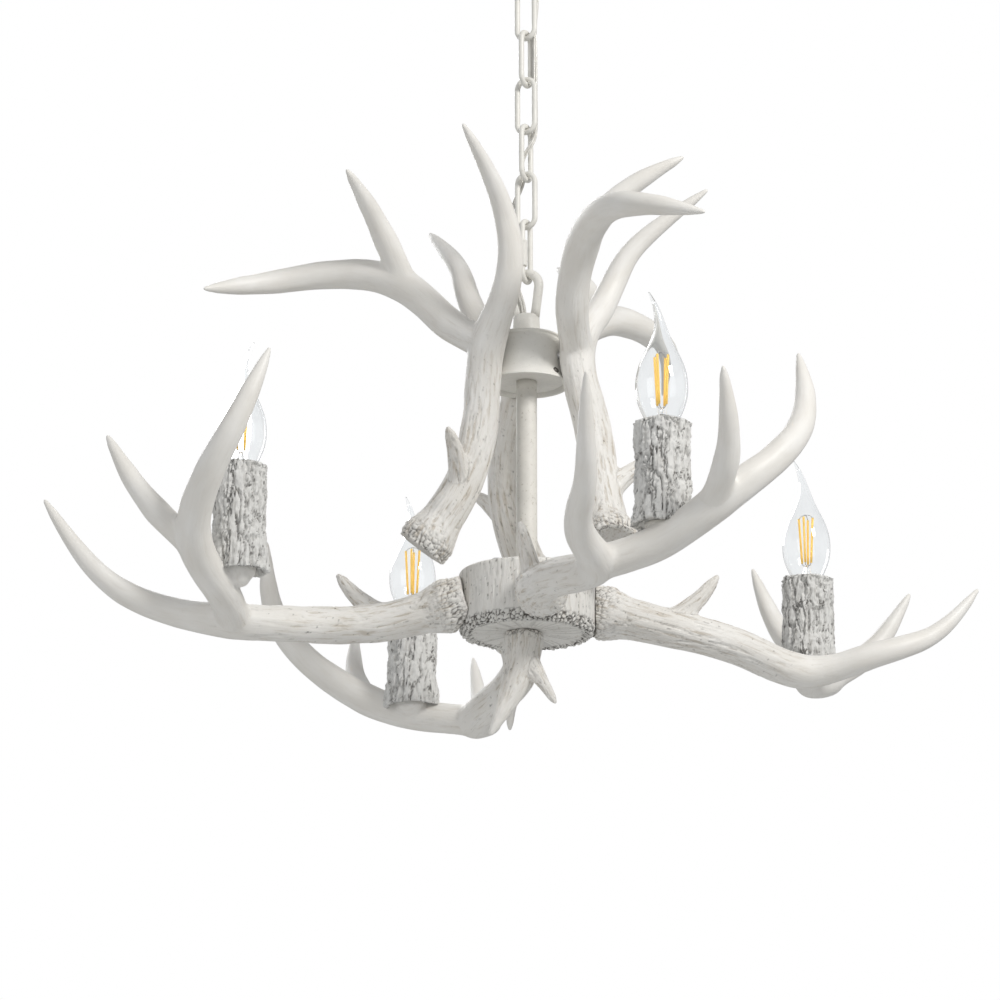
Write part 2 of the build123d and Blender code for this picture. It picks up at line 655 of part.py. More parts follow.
for name, seat in candle_feet.items():
    foot = Plane(origin=seat + Vector(0, 0, seat_gap))
    with BuildPart() as sleeve:
        add(turned(foot, [(0, sleeve_foot_radius, 0), (sleeve_foot_height, sleeve_radius, 0),
                          (sleeve_height, sleeve_radius, 0)]))
        add(turned(foot, [(sleeve_floor, sleeve_bore, 0), (sleeve_height + 1, sleeve_bore, 0)]), mode=Mode.SUBTRACT)
        with Locations(foot):
            peg(nipple_radius + thread_gap, 3 * sleeve_floor, mode=Mode.SUBTRACT)
    finish(sleeve.part, f"candle_sleeve_{name}")

    holder_low = sleeve_floor + seat_gap
    holder_top = holder_low + holder_height
    with BuildPart() as holder:
        add(turned(foot, [(holder_low, holder_radius, 0), (holder_top, holder_radius, 0)]))
        with Locations(foot):
            with Locations((0, 0, holder_top)):
                Cylinder(cap_radius + screw_play, socket_depth, align=(Align.CENTER, Align.CENTER, Align.MAX),
                         mode=Mode.SUBTRACT)
            with Locations((0, 0, holder_low)):
                peg(nipple_radius + thread_gap, holder_height, align=(Align.CENTER, Align.CENTER, Align.MIN),
                         mode=Mode.SUBTRACT)
    finish(holder.part, f"lampholder_{name}")

    # the bulb's neck; local X points to where its bent tail leans
    tail_turn = radians(bulb_turns[name])
    neck = Plane(origin=foot.origin + Vector(0, 0, holder_top + seat_gap), x_dir=(cos(tail_turn), sin(tail_turn), 0))
    body = [(0, bulb_neck_radius), (bulb_belly * 0.25, bulb_radius * 0.82), (bulb_belly * 0.6, bulb_radius * 0.97),
            (bulb_belly, bulb_radius), (bulb_belly + 13, bulb_radius * 0.8), (bulb_shoulder, bulb_shoulder_radius)]
    tail = [(bulb_shoulder + 9, 5.6, 0.4), (bulb_shoulder + 20, 3.2, 1.6), (bulb_shoulder + 33, 2.0, 5.5),
            (bulb_height, 0.9, bulb_tail_bend)]
    with BuildPart() as glass:
        add(turned(neck, [(level, radius, 0) for level, radius in body] + tail))
        add(turned(neck, [(level + (bulb_wall if level == 0 else 0), radius - bulb_wall, 0)
                          for level, radius in body]), mode=Mode.SUBTRACT)
        with Locations(neck):
            peg(stem_radius + 1.0, 4 * bulb_wall, mode=Mode.SUBTRACT)
    finish(glass.part, f"bulb_{name}_glass")

    with BuildPart() as core:
        with Locations(neck):
            with Locations((0, 0, -seat_gap)):
                Cylinder(cap_radius, cap_length, align=(Align.CENTER, Align.CENTER, Align.MAX))
            with PolarLocations(filament_circle, 4):
                with Locations((0, 0, filament_start)):
                    Box(filament_width, filament_width, filament_length,
                        align=(Align.CENTER, Align.CENTER, Align.MIN))
        add(turned(neck, [(-seat_gap, stem_radius, 0), (filament_start - 2.0, stem_radius * 0.7, 0)], 8))
        for level in (filament_start - 2.0, filament_start + filament_length - 1.0):
            add(turned(neck, [(level, filament_circle + filament_width, 0),
                              (level + 2.0, filament_circle + filament_width, 0)], 8))
    finish(core.part, f"bulb_{name}_core")


# ---------------------------------------------------------------- leads

# the leads' route: across in the links' two planes, then height
lead_route = [(0, 0, -33.0), (0.3, -0.3, -41.0), (4.6, -4.6, -53.0), (5.2, -4.8, -80.0), (4.8, -5.2, -112.0),
              (5.2, -4.8, -140.0), (4.8, -4.9, -168.5), (4.0, -1.2, -177.5), (-4.0, -1.2, -190.5),
              (-4.9, -4.9, -199.5), (-12.0, -3.4, -222.0), (-10.5, 2.0, -248.0), (-5.8, 5.8, -274.0),
              (-5.4, 5.6, -284.0), (-2.2, 1.2, -301.0), (-1.0, 0.0, -316.0)]


def lead_point(across, along, height):
    return facing.x_dir * across + edge_on.x_dir * along + Vector(0, 0, height)


with BuildPart() as leads:
    lead_points = [lead_point(*point) for point in lead_route]
    with BuildLine() as lead_path:
        Polyline(*lead_points)
    with BuildSketch(Plane(origin=lead_points[0], x_dir=facing.x_dir, z_dir=lead_points[1] - lead_points[0])):
        RegularPolygon(lead_radius, 8)
    sweep(path=lead_path.line, transition=Transition.RIGHT)

cuts = [0, *pivots, 2 * hub_low]
for number, (top, low) in enumerate(zip(cuts, cuts[1:])):
    with BuildPart() as stretch:
        add(leads.part)
        split(bisect_by=Plane.XY.offset(low), keep=Keep.TOP)
        split(bisect_by=Plane.XY.offset(top), keep=Keep.BOTTOM)
    finish(stretch.part, f"leads_{number + 1}")
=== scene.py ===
import math

import bpy
import numpy as np
from mathutils import Matrix, Vector


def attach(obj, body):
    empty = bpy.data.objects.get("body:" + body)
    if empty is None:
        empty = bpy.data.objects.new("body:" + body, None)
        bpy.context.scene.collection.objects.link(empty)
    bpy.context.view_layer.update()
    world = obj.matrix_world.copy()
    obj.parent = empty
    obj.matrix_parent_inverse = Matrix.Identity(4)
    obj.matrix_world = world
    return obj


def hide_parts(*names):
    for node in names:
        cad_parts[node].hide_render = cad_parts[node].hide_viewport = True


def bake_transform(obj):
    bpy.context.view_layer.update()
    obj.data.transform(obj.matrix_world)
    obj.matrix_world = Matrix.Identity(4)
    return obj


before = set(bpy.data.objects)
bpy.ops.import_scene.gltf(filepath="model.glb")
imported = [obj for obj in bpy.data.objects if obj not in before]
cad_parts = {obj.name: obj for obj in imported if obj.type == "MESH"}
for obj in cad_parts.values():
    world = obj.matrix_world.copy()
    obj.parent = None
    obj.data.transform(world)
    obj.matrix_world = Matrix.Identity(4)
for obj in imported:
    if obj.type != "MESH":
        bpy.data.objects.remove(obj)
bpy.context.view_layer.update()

# Lengths are in millimetres, and MM turns them into metres. The camera, lights and floor are in metres.
MM = 0.001
HUB = -523.1                      # height of the hub's middle
HUB_HALF = 23                     # half its height
E1 = np.array([0.882948, -0.469472, 0.0])   # across the links that face the viewer
E2 = np.array([0.469472, 0.882948, 0.0])    # across the links that stand edge-on
UP = np.array([0.0, 0.0, 1.0])


# ---------------------------------------------------------------- noise

def lattice(ix, iy, iz, seed):
    """A repeatable number from 0 to 1 at each whole-number point."""
    n = (ix * 374761393 + iy * 668265263 + iz * 2147483647 + seed * 1442695041) & 0xFFFFFFFF
    n = ((n ^ (n >> 13)) * 1274126177) & 0xFFFFFFFF
    n = ((n ^ (n >> 16)) * 2246822519) & 0xFFFFFFFF
    return ((n >> 8) & 0xFFFF) / 65535.0


def noise(p, seed=0):
    """Smooth noise from -1 to 1 at points p."""
    base = np.floor(p).astype(np.int64)
    f = p - base
    f = f * f * (3 - 2 * f)
    total = np.zeros(len(p))
    for dx in (0, 1):
        for dy in (0, 1):
            for dz in (0, 1):
                w = (f[:, 0] if dx else 1 - f[:, 0]) * (f[:, 1] if dy else 1 - f[:, 1])
                w = w * (f[:, 2] if dz else 1 - f[:, 2])
                total += w * lattice(base[:, 0] + dx, base[:, 1] + dy, base[:, 2] + dz, seed)
    return total * 2 - 1


def fractal(p, seed=0, octaves=3):
    return sum(noise(p * 2.0 ** k, seed + k) * 0.5 ** k for k in range(octaves))


def pearls(p, seed=0):
    """Round knobs with crisp gaps: 1 on a knob, 0 in the gap between two."""
    base = np.floor(p).astype(np.int64)
    first, second = np.full(len(p), 9.0), np.full(len(p), 9.0)
    for dx in (-1, 0, 1):
        for dy in (-1, 0, 1):
            for dz in (-1, 0, 1):
                c = base + np.array([dx, dy, dz])
                jitter = np.stack([lattice(c[:, 0], c[:, 1], c[:, 2], seed + k) for k in range(3)], 1)
                far = np.linalg.norm(c + jitter - p, axis=1)
                second = np.minimum(second, np.maximum(first, far))
                first = np.minimum(first, far)
    return np.clip((second - first) / 0.45, 0, 1) ** 0.7


def smooth(x, low, high):
    t = np.clip((x - low) / (high - low), 0, 1)
    return t * t * (3 - 2 * t)


# ---------------------------------------------------------------- curves and meshes

def through(points, count):
    """Points at even steps along a smooth curve through three or more points."""
    p = np.array(points, float)
    t = np.concatenate([[0], np.cumsum(np.linalg.norm(np.diff(p, axis=0), axis=1))])
    n = len(p)
    h = np.diff(t)
    a = np.zeros((n, n))
    b = np.zeros((n, 3))
    a[0, 0] = a[-1, -1] = 1
    for i in range(1, n - 1):
        a[i, i - 1], a[i, i], a[i, i + 1] = h[i - 1], 2 * (h[i - 1] + h[i]), h[i]
        b[i] = 6 * ((p[i + 1] - p[i]) / h[i] - (p[i] - p[i - 1]) / h[i - 1])
    m = np.linalg.solve(a, b)
    fine = np.linspace(0, t[-1], 2000)
    i = np.clip(np.searchsorted(t, fine) - 1, 0, n - 2)
    lo, hi = (t[i + 1] - fine)[:, None], (fine - t[i])[:, None]
    hh = h[i][:, None]
    q = (m[i] * lo ** 3 + m[i + 1] * hi ** 3) / (6 * hh)
    q += (p[i] / hh - m[i] * hh / 6) * lo + (p[i + 1] / hh - m[i + 1] * hh / 6) * hi
    s = np.concatenate([[0], np.cumsum(np.linalg.norm(np.diff(q, axis=0), axis=1))])
    even = np.linspace(0, s[-1], count)
    return np.stack([np.interp(even, s, q[:, k]) for k in range(3)], 1)


def frames(path, closed=False):
    """Two directions across a path at each of its points, turning as little as they can."""
    ahead = np.roll(path, -1, 0) - np.roll(path, 1, 0) if closed else np.gradient(path, axis=0)
    t = ahead / np.linalg.norm(ahead, axis=1)[:, None]
    u = np.zeros_like(path)
    start = np.cross(t[0], [0.0, 0.0, 1.0])
    if np.linalg.norm(start) < 1e-3:
        start = np.cross(t[0], [0.0, 1.0, 0.0])
    u[0] = start / np.linalg.norm(start)
    for i in range(1, len(path)):
        v = u[i - 1] - t[i] * (u[i - 1] @ t[i])
        u[i] = v / np.linalg.norm(v)
    return t, u, np.cross(t, u)


def grid_mesh(name, rings, closed_u=False, caps=False):
    """A mesh through rings of points in millimetres. closed_u joins the last ring to the first."""
    rings = np.asarray(rings, float)
    n, m = rings.shape[:2]
    i = np.arange(n if closed_u else n - 1)[:, None]
    j = np.arange(m)[None, :]
    a, b = i * m + j, i * m + (j + 1) % m
    c, d = ((i + 1) % n) * m + (j + 1) % m, ((i + 1) % n) * m + j
    faces = np.stack([a + 0 * j, b + 0 * i, c + 0 * j, d + 0 * j], -1).reshape(-1, 4).tolist()
    if caps:
        faces.append(list(range(m))[::-1])
        faces.append(list(range((n - 1) * m, n * m)))
    mesh = bpy.data.meshes.new(name)
    mesh.from_pydata((rings.reshape(-1, 3) * MM).tolist(), [], faces)
    mesh.validate()
    mesh.update()
    corners = [mesh.vertices[k].co for p in mesh.polygons for k in p.vertices[:3]]
    if sum(a.dot(b.cross(c)) for a, b, c in zip(corners[0::3], corners[1::3], corners[2::3])) < 0:
        mesh.flip_normals()
    return mesh


def lathe(name, profile, around=96, base=(0, 0, 0), wobble=None, bend=None, closed=True):
    """A turned form through (radius, height). wobble gives moves outwards and up, bend gives moves sideways."""
    profile = np.array(profile, float)
    turns = np.linspace(0, 2 * math.pi, around, endpoint=False)
    r = np.repeat(profile[:, :1], around, 1)
    z = np.repeat(profile[:, 1:2], around, 1)
    turn = np.repeat(turns[None, :], len(profile), 0)
    if wobble is not None:
        dr, dz = wobble(r, z, turn)
        r, z = r + dr, z + dz
    x, y = r * np.cos(turn), r * np.sin(turn)
    if bend is not None:
        bx, by = bend(z)
        x, y = x + bx, y + by
    rings = np.stack([x + base[0], y + base[1], z + base[2]], -1)
    return grid_mesh(name, rings, closed_u=closed, caps=not closed)


def rounded(points, steps=6):
    """A profile of (radius, height) whose corners are softened by an optional third number."""
    share = 0.42   # the most of a side that one corner takes
    p = [np.array(q[:2], float) for q in points]
    out = []
    for i, q in enumerate(p):
        r = points[i][2] if len(points[i]) > 2 else 0
        before, after = p[i - 1] - q, p[(i + 1) % len(p)] - q
        la, lb = np.linalg.norm(before), np.linalg.norm(after)
        r = min(r, share * la, share * lb)
        if r <= 0:
            out.append(q)
            continue
        a, b = q + before / la * r, q + after / lb * r
        for k in range(steps + 1):
            t = k / steps
            out.append((1 - t) ** 2 * a + 2 * t * (1 - t) * q + t * t * b)
    return out


def dense(profile, step):
    """The same profile with points no further apart than a step."""
    out = []
    for a, b in zip(profile, list(profile[1:]) + [profile[0]]):
        n = max(1, int(np.linalg.norm(np.subtract(b, a)) / step))
        out += [np.add(a, np.subtract(b, a) * k / n) for k in range(n)]
    return out


def tube(name, path, radius, around, closed=False):
    """A round wire along a path. radius is a number or one for each point."""
    path = np.asarray(path, float)
    _, u, v = frames(path, closed)
    radius = np.broadcast_to(np.asarray(radius, float), (len(path),))
    turns = np.linspace(0, 2 * math.pi, around, endpoint=False)
    rings = path[:, None, :] + radius[:, None, None] * (
        np.cos(turns)[None, :, None] * u[:, None, :] + np.sin(turns)[None, :, None] * v[:, None, :])
    return grid_mesh(name, rings, closed_u=closed, caps=not closed)


def joined(name, meshes):
    """One mesh of several."""
    verts, faces, n = [], [], 0
    for mesh in meshes:
        co = np.zeros(len(mesh.vertices) * 3)
        mesh.vertices.foreach_get("co", co)
        verts.append(co.reshape(-1, 3))
        faces += [[n + k for k in p.vertices] for p in mesh.polygons]
        n += len(mesh.vertices)
    whole = bpy.data.meshes.new(name)
    whole.from_pydata(np.concatenate(verts).tolist(), [], faces)
    whole.update()
    return whole


def coords(mesh):
    co = np.zeros(len(mesh.vertices) * 3)
    mesh.vertices.foreach_get("co", co)
    return co.reshape(-1, 3) / MM


def set_coords(mesh, co):
    mesh.vertices.foreach_set("co", (co * MM).ravel())
    mesh.update()


def attribute(mesh, name, values):
    kind = "FLOAT_VECTOR" if values.ndim == 2 else "FLOAT"
    a = mesh.attributes.new(name, kind, "POINT")
    a.data.foreach_set("vector" if values.ndim == 2 else "value", values.astype(np.float32).ravel())


def piece(mesh, material, body, nodes=()):
    """Puts a mesh in the scene, riding on a body and standing for CAD nodes."""
    mesh.materials.clear()
    mesh.materials.append(material)
    mesh.polygons.foreach_set("use_smooth", [True] * len(mesh.polygons))
    made = bpy.data.objects.new(mesh.name, mesh)
    bpy.context.scene.collection.objects.link(made)
    if body:
        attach(made, body)
    if nodes:
        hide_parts(*nodes)
    return made


def remeshed(mesh, voxel):
    """The closed skin round overlapping closed forms."""
    made = bpy.data.objects.new("union", mesh)
    bpy.context.scene.collection.objects.link(made)
    again = made.modifiers.new("remesh", "REMESH")
    again.mode = "VOXEL"
    again.voxel_size = voxel * MM
    softer = made.modifiers.new("smooth", "SMOOTH")
    softer.factor = 0.5
    softer.iterations = 6
    skin = bpy.data.meshes.new_from_object(made.evaluated_get(bpy.context.evaluated_depsgraph_get()))
    bpy.data.objects.remove(made)
    return skin


def vertex_normals(mesh):
    n = np.zeros(len(mesh.vertices) * 3)
    mesh.vertex_normals.foreach_get("vector", n)
    return n.reshape(-1, 3)


# ---------------------------------------------------------------- materials

class Shader:
    """A material whose nodes are added by short calls."""

    def __init__(self, name):
        self.material = bpy.data.materials.new(name)
        self.material.use_nodes = True
        self.tree = self.material.node_tree
        self.body = self.tree.nodes["Principled BSDF"]

    def put(self, value, socket):
        """Links an output to a socket, or sets the socket to a value."""
        if hasattr(value, "is_output"):
            self.tree.links.new(value, socket)
        else:
            socket.default_value = value

    def node(self, kind, inputs=(), **settings):
        made = self.tree.nodes.new(kind)
        for key, value in settings.items():
            setattr(made, key, value)
        for key, value in dict(inputs).items():
            self.put(value, made.inputs[key])
        return made

    def set(self, **values):
        for key, value in values.items():
            self.put(value, self.body.inputs[key.replace("_", " ")])

    def coordinates(self, attribute_name=None):
        if attribute_name:
            return self.node("ShaderNodeAttribute", attribute_name=attribute_name).outputs["Vector"]
        return self.node("ShaderNodeTexCoord").outputs["Object"]

    def stretched(self, vector, scale):
        return self.node("ShaderNodeMapping", {"Vector": vector, "Scale": scale}).outputs["Vector"]

    def painted(self, name):
        """A single number kept on the mesh's points."""
        return self.node("ShaderNodeAttribute", attribute_name=name).outputs["Fac"]

    def noise(self, vector, scale, detail=4.0, rough=0.55):
        return self.node("ShaderNodeTexNoise", {"Vector": vector, "Scale": scale, "Detail": detail,
                                                "Roughness": rough}).outputs["Fac"]

    def level(self, value, low, high, to_low=0.0, to_high=1.0):
        return self.node("ShaderNodeMapRange", {"Value": value, "From Min": low, "From Max": high,
                                                "To Min": to_low, "To Max": to_high}).outputs["Result"]

    def math(self, how, a, b):
        return self.node("ShaderNodeMath", {0: a, 1: b}, operation=how).outputs[0]

    def mix(self, share, a, b):
        made = self.node("ShaderNodeMix", {0: share}, data_type="RGBA")
        for key, colour in ((6, a), (7, b)):
            self.put(colour if hasattr(colour, "is_output") else (*colour, 1), made.inputs[key])
        return made.outputs[2]

    def bump(self, height, strength, distance, normal=None):
        inputs = {"Height": height, "Strength": strength, "Distance": distance}
        if normal is not None:
            inputs["Normal"] = normal
        return self.node("ShaderNodeBump", inputs).outputs["Normal"]


def antler_material():
    """Whitewashed resin: long bark grooves with dark wax in them near the burr, smooth satin tines."""
    s = Shader("antler_whitewash")
    grain = s.coordinates("grain")
    bark, pit = s.painted("bark"), s.painted("pit")
    long_grain = s.noise(s.stretched(grain, (0.42, 0.42, 0.05)), 1.0, 5.0, 0.6)
    fine_grain = s.noise(s.stretched(grain, (1.5, 1.5, 0.14)), 1.0, 4.0, 0.6)
    cloud = s.noise(s.stretched(grain, (0.07, 0.07, 0.03)), 1.0, 3.0, 0.5)
    speck = s.noise(s.stretched(grain, (1.1, 1.1, 0.35)), 1.0, 2.0, 0.5)
    groove = s.level(long_grain, 0.34, 0.47, 1.0, 0.0)
    crack = s.level(fine_grain, 0.30, 0.43, 1.0, 0.0)
    dots = s.level(speck, 0.27, 0.34, 1.0, 0.0)
    base = s.mix(s.level(cloud, 0.35, 0.7), (0.80, 0.775, 0.73), (0.86, 0.845, 0.815))
    washed = s.mix(s.math("MULTIPLY", s.math("MULTIPLY", groove, bark), 0.62), base, (0.46, 0.39, 0.30))
    washed = s.mix(s.math("MULTIPLY", s.math("MULTIPLY", crack, bark), 0.28), washed, (0.36, 0.30, 0.24))
    washed = s.mix(s.math("MULTIPLY", s.math("MULTIPLY", dots, groove), s.math("MULTIPLY", bark, 0.9)),
                   washed, (0.07, 0.055, 0.045))
    washed = s.mix(s.math("MULTIPLY", pit, 0.9), washed, (0.05, 0.038, 0.03))
    rough = s.level(bark, 0.0, 1.0, 0.42, 0.62)
    low = s.bump(long_grain, s.level(bark, 0.0, 1.0, 0.10, 0.75), 0.0011)
    high = s.bump(fine_grain, s.level(bark, 0.0, 1.0, 0.10, 0.55), 0.0004, low)
    s.set(Base_Color=washed, Roughness=rough, Normal=high, Specular_IOR_Level=0.35)
    return s.material


def bark_material(name, light, dark, along_scale, strength):
    """Grey-white plaster bark or cracked resin, with dark pits."""
    s = Shader(name)
    where = s.coordinates("grain")
    pit = s.painted("pit")
    wide = s.noise(s.stretched(where, (0.30, 0.30, along_scale)), 1.0, 5.0, 0.65)
    fine = s.noise(s.stretched(where, (1.3, 1.3, along_scale * 3)), 1.0, 4.0, 0.6)
    crack = s.level(wide, 0.33, 0.45, 1.0, 0.0)
    colour = s.mix(s.level(fine, 0.3, 0.75), tuple(0.9 * c for c in light), light)
    colour = s.mix(s.math("MULTIPLY", crack, 0.45), colour, dark)
    colour = s.mix(s.math("MULTIPLY", pit, 0.92), colour, (0.05, 0.042, 0.035))
    bumped = s.bump(wide, strength, 0.0012)
    s.set(Base_Color=colour, Roughness=0.66, Normal=s.bump(fine, strength * 0.7, 0.0004, bumped),
          Specular_IOR_Level=0.3)
    return s.material


def metal_paint(name, light, mottle, rough):
    """Off-white paint on metal, with a slight orange peel and worn, darker mottling."""
    s = Shader(name)
    where = s.coordinates()
    cloud = s.noise(where, 90.0, 4.0, 0.6)
    spots = s.noise(where, 420.0, 3.0, 0.6)
    colour = s.mix(s.level(cloud, 0.42, 0.72), light, tuple(0.93 * c for c in light))
    colour = s.mix(s.math("MULTIPLY", s.level(spots, 0.60, 0.72), mottle), colour, (0.42, 0.38, 0.31))
    s.set(Base_Color=colour, Roughness=s.level(cloud, 0.3, 0.7, rough, rough + 0.14),
          Normal=s.bump(spots, 0.12, 0.0003), Specular_IOR_Level=0.45)
    return s.material


def steel(name, colour, rough):
    s = Shader(name)
    streak = s.noise(s.stretched(s.coordinates(), (60, 60, 900)), 1.0, 3.0)
    s.set(Base_Color=s.mix(streak, colour, tuple(0.8 * c for c in colour)), Metallic=1.0,
          Roughness=s.level(streak, 0.3, 0.7, rough, rough + 0.12), Normal=s.bump(streak, 0.08, 0.0002))
    return s.material


def plastic(name, colour, rough, **extra):
    s = Shader(name)
    cloud = s.noise(s.coordinates(), 160.0, 3.0)
    s.set(Base_Color=s.mix(s.level(cloud, 0.3, 0.7), colour, tuple(0.95 * c for c in colour)),
          Roughness=rough, Normal=s.bump(cloud, 0.05, 0.0003), **extra)
    return s.material


def glass():
    """Clear blown glass with faint waves."""
    s = Shader("bulb_clear_glass")
    wave = s.noise(s.coordinates(), 45.0, 2.0)
    s.set(Base_Color=(0.935, 0.946, 0.952, 1), Roughness=0.0, Transmission_Weight=1.0, IOR=1.42,
          Normal=s.bump(wave, 0.03, 0.0005))
    return s.material


def filament():
    """Yellow phosphor that glows a little."""
    s = Shader("filament_phosphor")
    grainy = s.noise(s.coordinates(), 1500.0, 2.0)
    colour = s.mix(grainy, (0.95, 0.55, 0.09), (1.0, 0.68, 0.16))
    s.set(Base_Color=colour, Roughness=0.5, Emission_Color=colour, Emission_Strength=0.35)
    return s.material


ANTLER = antler_material()
HUB_RESIN = bark_material("hub_cracked_resin", (0.83, 0.815, 0.78), (0.40, 0.35, 0.29), 0.035, 0.75)
SLEEVE = bark_material("sleeve_plaster_bark", (0.78, 0.775, 0.755), (0.36, 0.34, 0.31), 0.06, 1.0)
PAINT = metal_paint("off_white_paint", (0.80, 0.785, 0.74), 0.25, 0.36)
ROD_PAINT = metal_paint("off_white_paint_mottled", (0.78, 0.76, 0.71), 0.6, 0.42)
ZINC = steel("zinc_plate", (0.62, 0.62, 0.63), 0.32)
DARK_STEEL = steel("blackened_steel", (0.16, 0.15, 0.14), 0.4)
BRASS = steel("nickel_brass_cap", (0.72, 0.64, 0.47), 0.28)
HOLDER = plastic("holder_plastic", (0.82, 0.80, 0.76), 0.45)
WIRE = plastic("lead_clear_pvc", (0.86, 0.84, 0.79), 0.2, Transmission_Weight=0.2)
GLASS = glass()
FILAMENT = filament()


# ---------------------------------------------------------------- antlers

# A limb is the points of its middle, its (share of length, radius) and how far from the burr it starts.
FORK, SECOND, BROW = (157, -2, -31), (196, 66, -7), (43, -15, -14)
LIMBS = [
    ([(1, 1, -1), (58, -17, -17), (111, -12, -25), FORK, (200, -22, -21), (242, -27, -3), (270, -30, 26),
      (290, -32, 54)],
     [(0, 17.5), (0.03, 19.0), (0.075, 14.5), (0.2, 13.2), (0.36, 12.6), (0.5, 12.8), (0.6, 10.2),
      (0.74, 8.2), (0.87, 5.8), (0.96, 3.6), (1, 1.6)], 0.0),
    ([FORK, (173, 35, -23), SECOND, (201, 106, 20), (186, 140, 57), (167, 148, 109)],
     [(0, 11.5), (0.2, 11.4), (0.38, 12.2), (0.55, 10.0), (0.74, 8.8), (0.86, 6.6), (0.95, 4.0),
      (1, 1.6)], 165.0),
    ([SECOND, (228, 72, 17), (261, 66, 67)],
     [(0, 9.5), (0.4, 8.3), (0.7, 6.0), (0.93, 3.3), (1, 1.6)], 250.0),
    ([BROW, (64, -23, 0), (81, -31, 21)],
     [(0, 9.0), (0.5, 6.6), (0.9, 4.0), (1, 2.2)], 60.0)]
BARK_UNTIL = 215      # where an antler's bark has faded out, from the burr
SKIN = 0.25           # limbs are swept this much thicker, against what the softening takes off
SAMPLES = 240
BLOCK = 16000         # points measured at a time


def limb_form(limb, lead_in):
    """Centreline, radius and distance from the burr at each sample of a limb, with a straight lead-in."""
    points, stations, start = limb
    path = through(points, SAMPLES)
    length = np.sum(np.linalg.norm(np.diff(path, axis=0), axis=1))
    share = np.linspace(0, 1, SAMPLES)
    radius = np.interp(share, *zip(*stations)) + SKIN
    along = start + share * length
    if lead_in:
        back = path[0] - path[1]
        steps = np.arange(int(lead_in), 0, -1)[:, None]
        path = np.concatenate([path[0] + back / np.linalg.norm(back) * steps, path])
        radius = np.concatenate([np.full(len(steps), radius[0]), radius])
        along = np.concatenate([-steps[:, 0], along])
    return path, radius, along


def rounded_tube(path, radius):
    """A limb whose far end is a half ball."""
    ahead = path[-1] - path[-2]
    turn = np.linspace(0, math.pi / 2, 6)[1:-1]
    more = path[-1] + ahead / np.linalg.norm(ahead) * radius[-1] * np.sin(turn)[:, None]
    thinner = np.concatenate([radius, radius[-1] * np.cos(turn)])
    return tube("limb", np.concatenate([path, more]), thinner, 28)


def soften(mesh, co, weight, times):
    """Evens out the skin where weight is above 0."""
    edges = np.zeros(len(mesh.edges) * 2, int)
    mesh.edges.foreach_get("vertices", edges)
    a, b = edges[0::2], edges[1::2]
    rows = np.nonzero((weight[a] > 0) | (weight[b] > 0))[0]
    a, b = a[rows], b[rows]
    n = len(co)
    count = np.maximum(np.bincount(a, minlength=n) + np.bincount(b, minlength=n), 1)
    for _ in range(times):
        total = np.stack([np.bincount(a, co[b, k], n) + np.bincount(b, co[a, k], n) for k in range(3)], 1)
        co = co + weight[:, None] * (total / count[:, None] - co) * (weight > 0)[:, None]
    return co


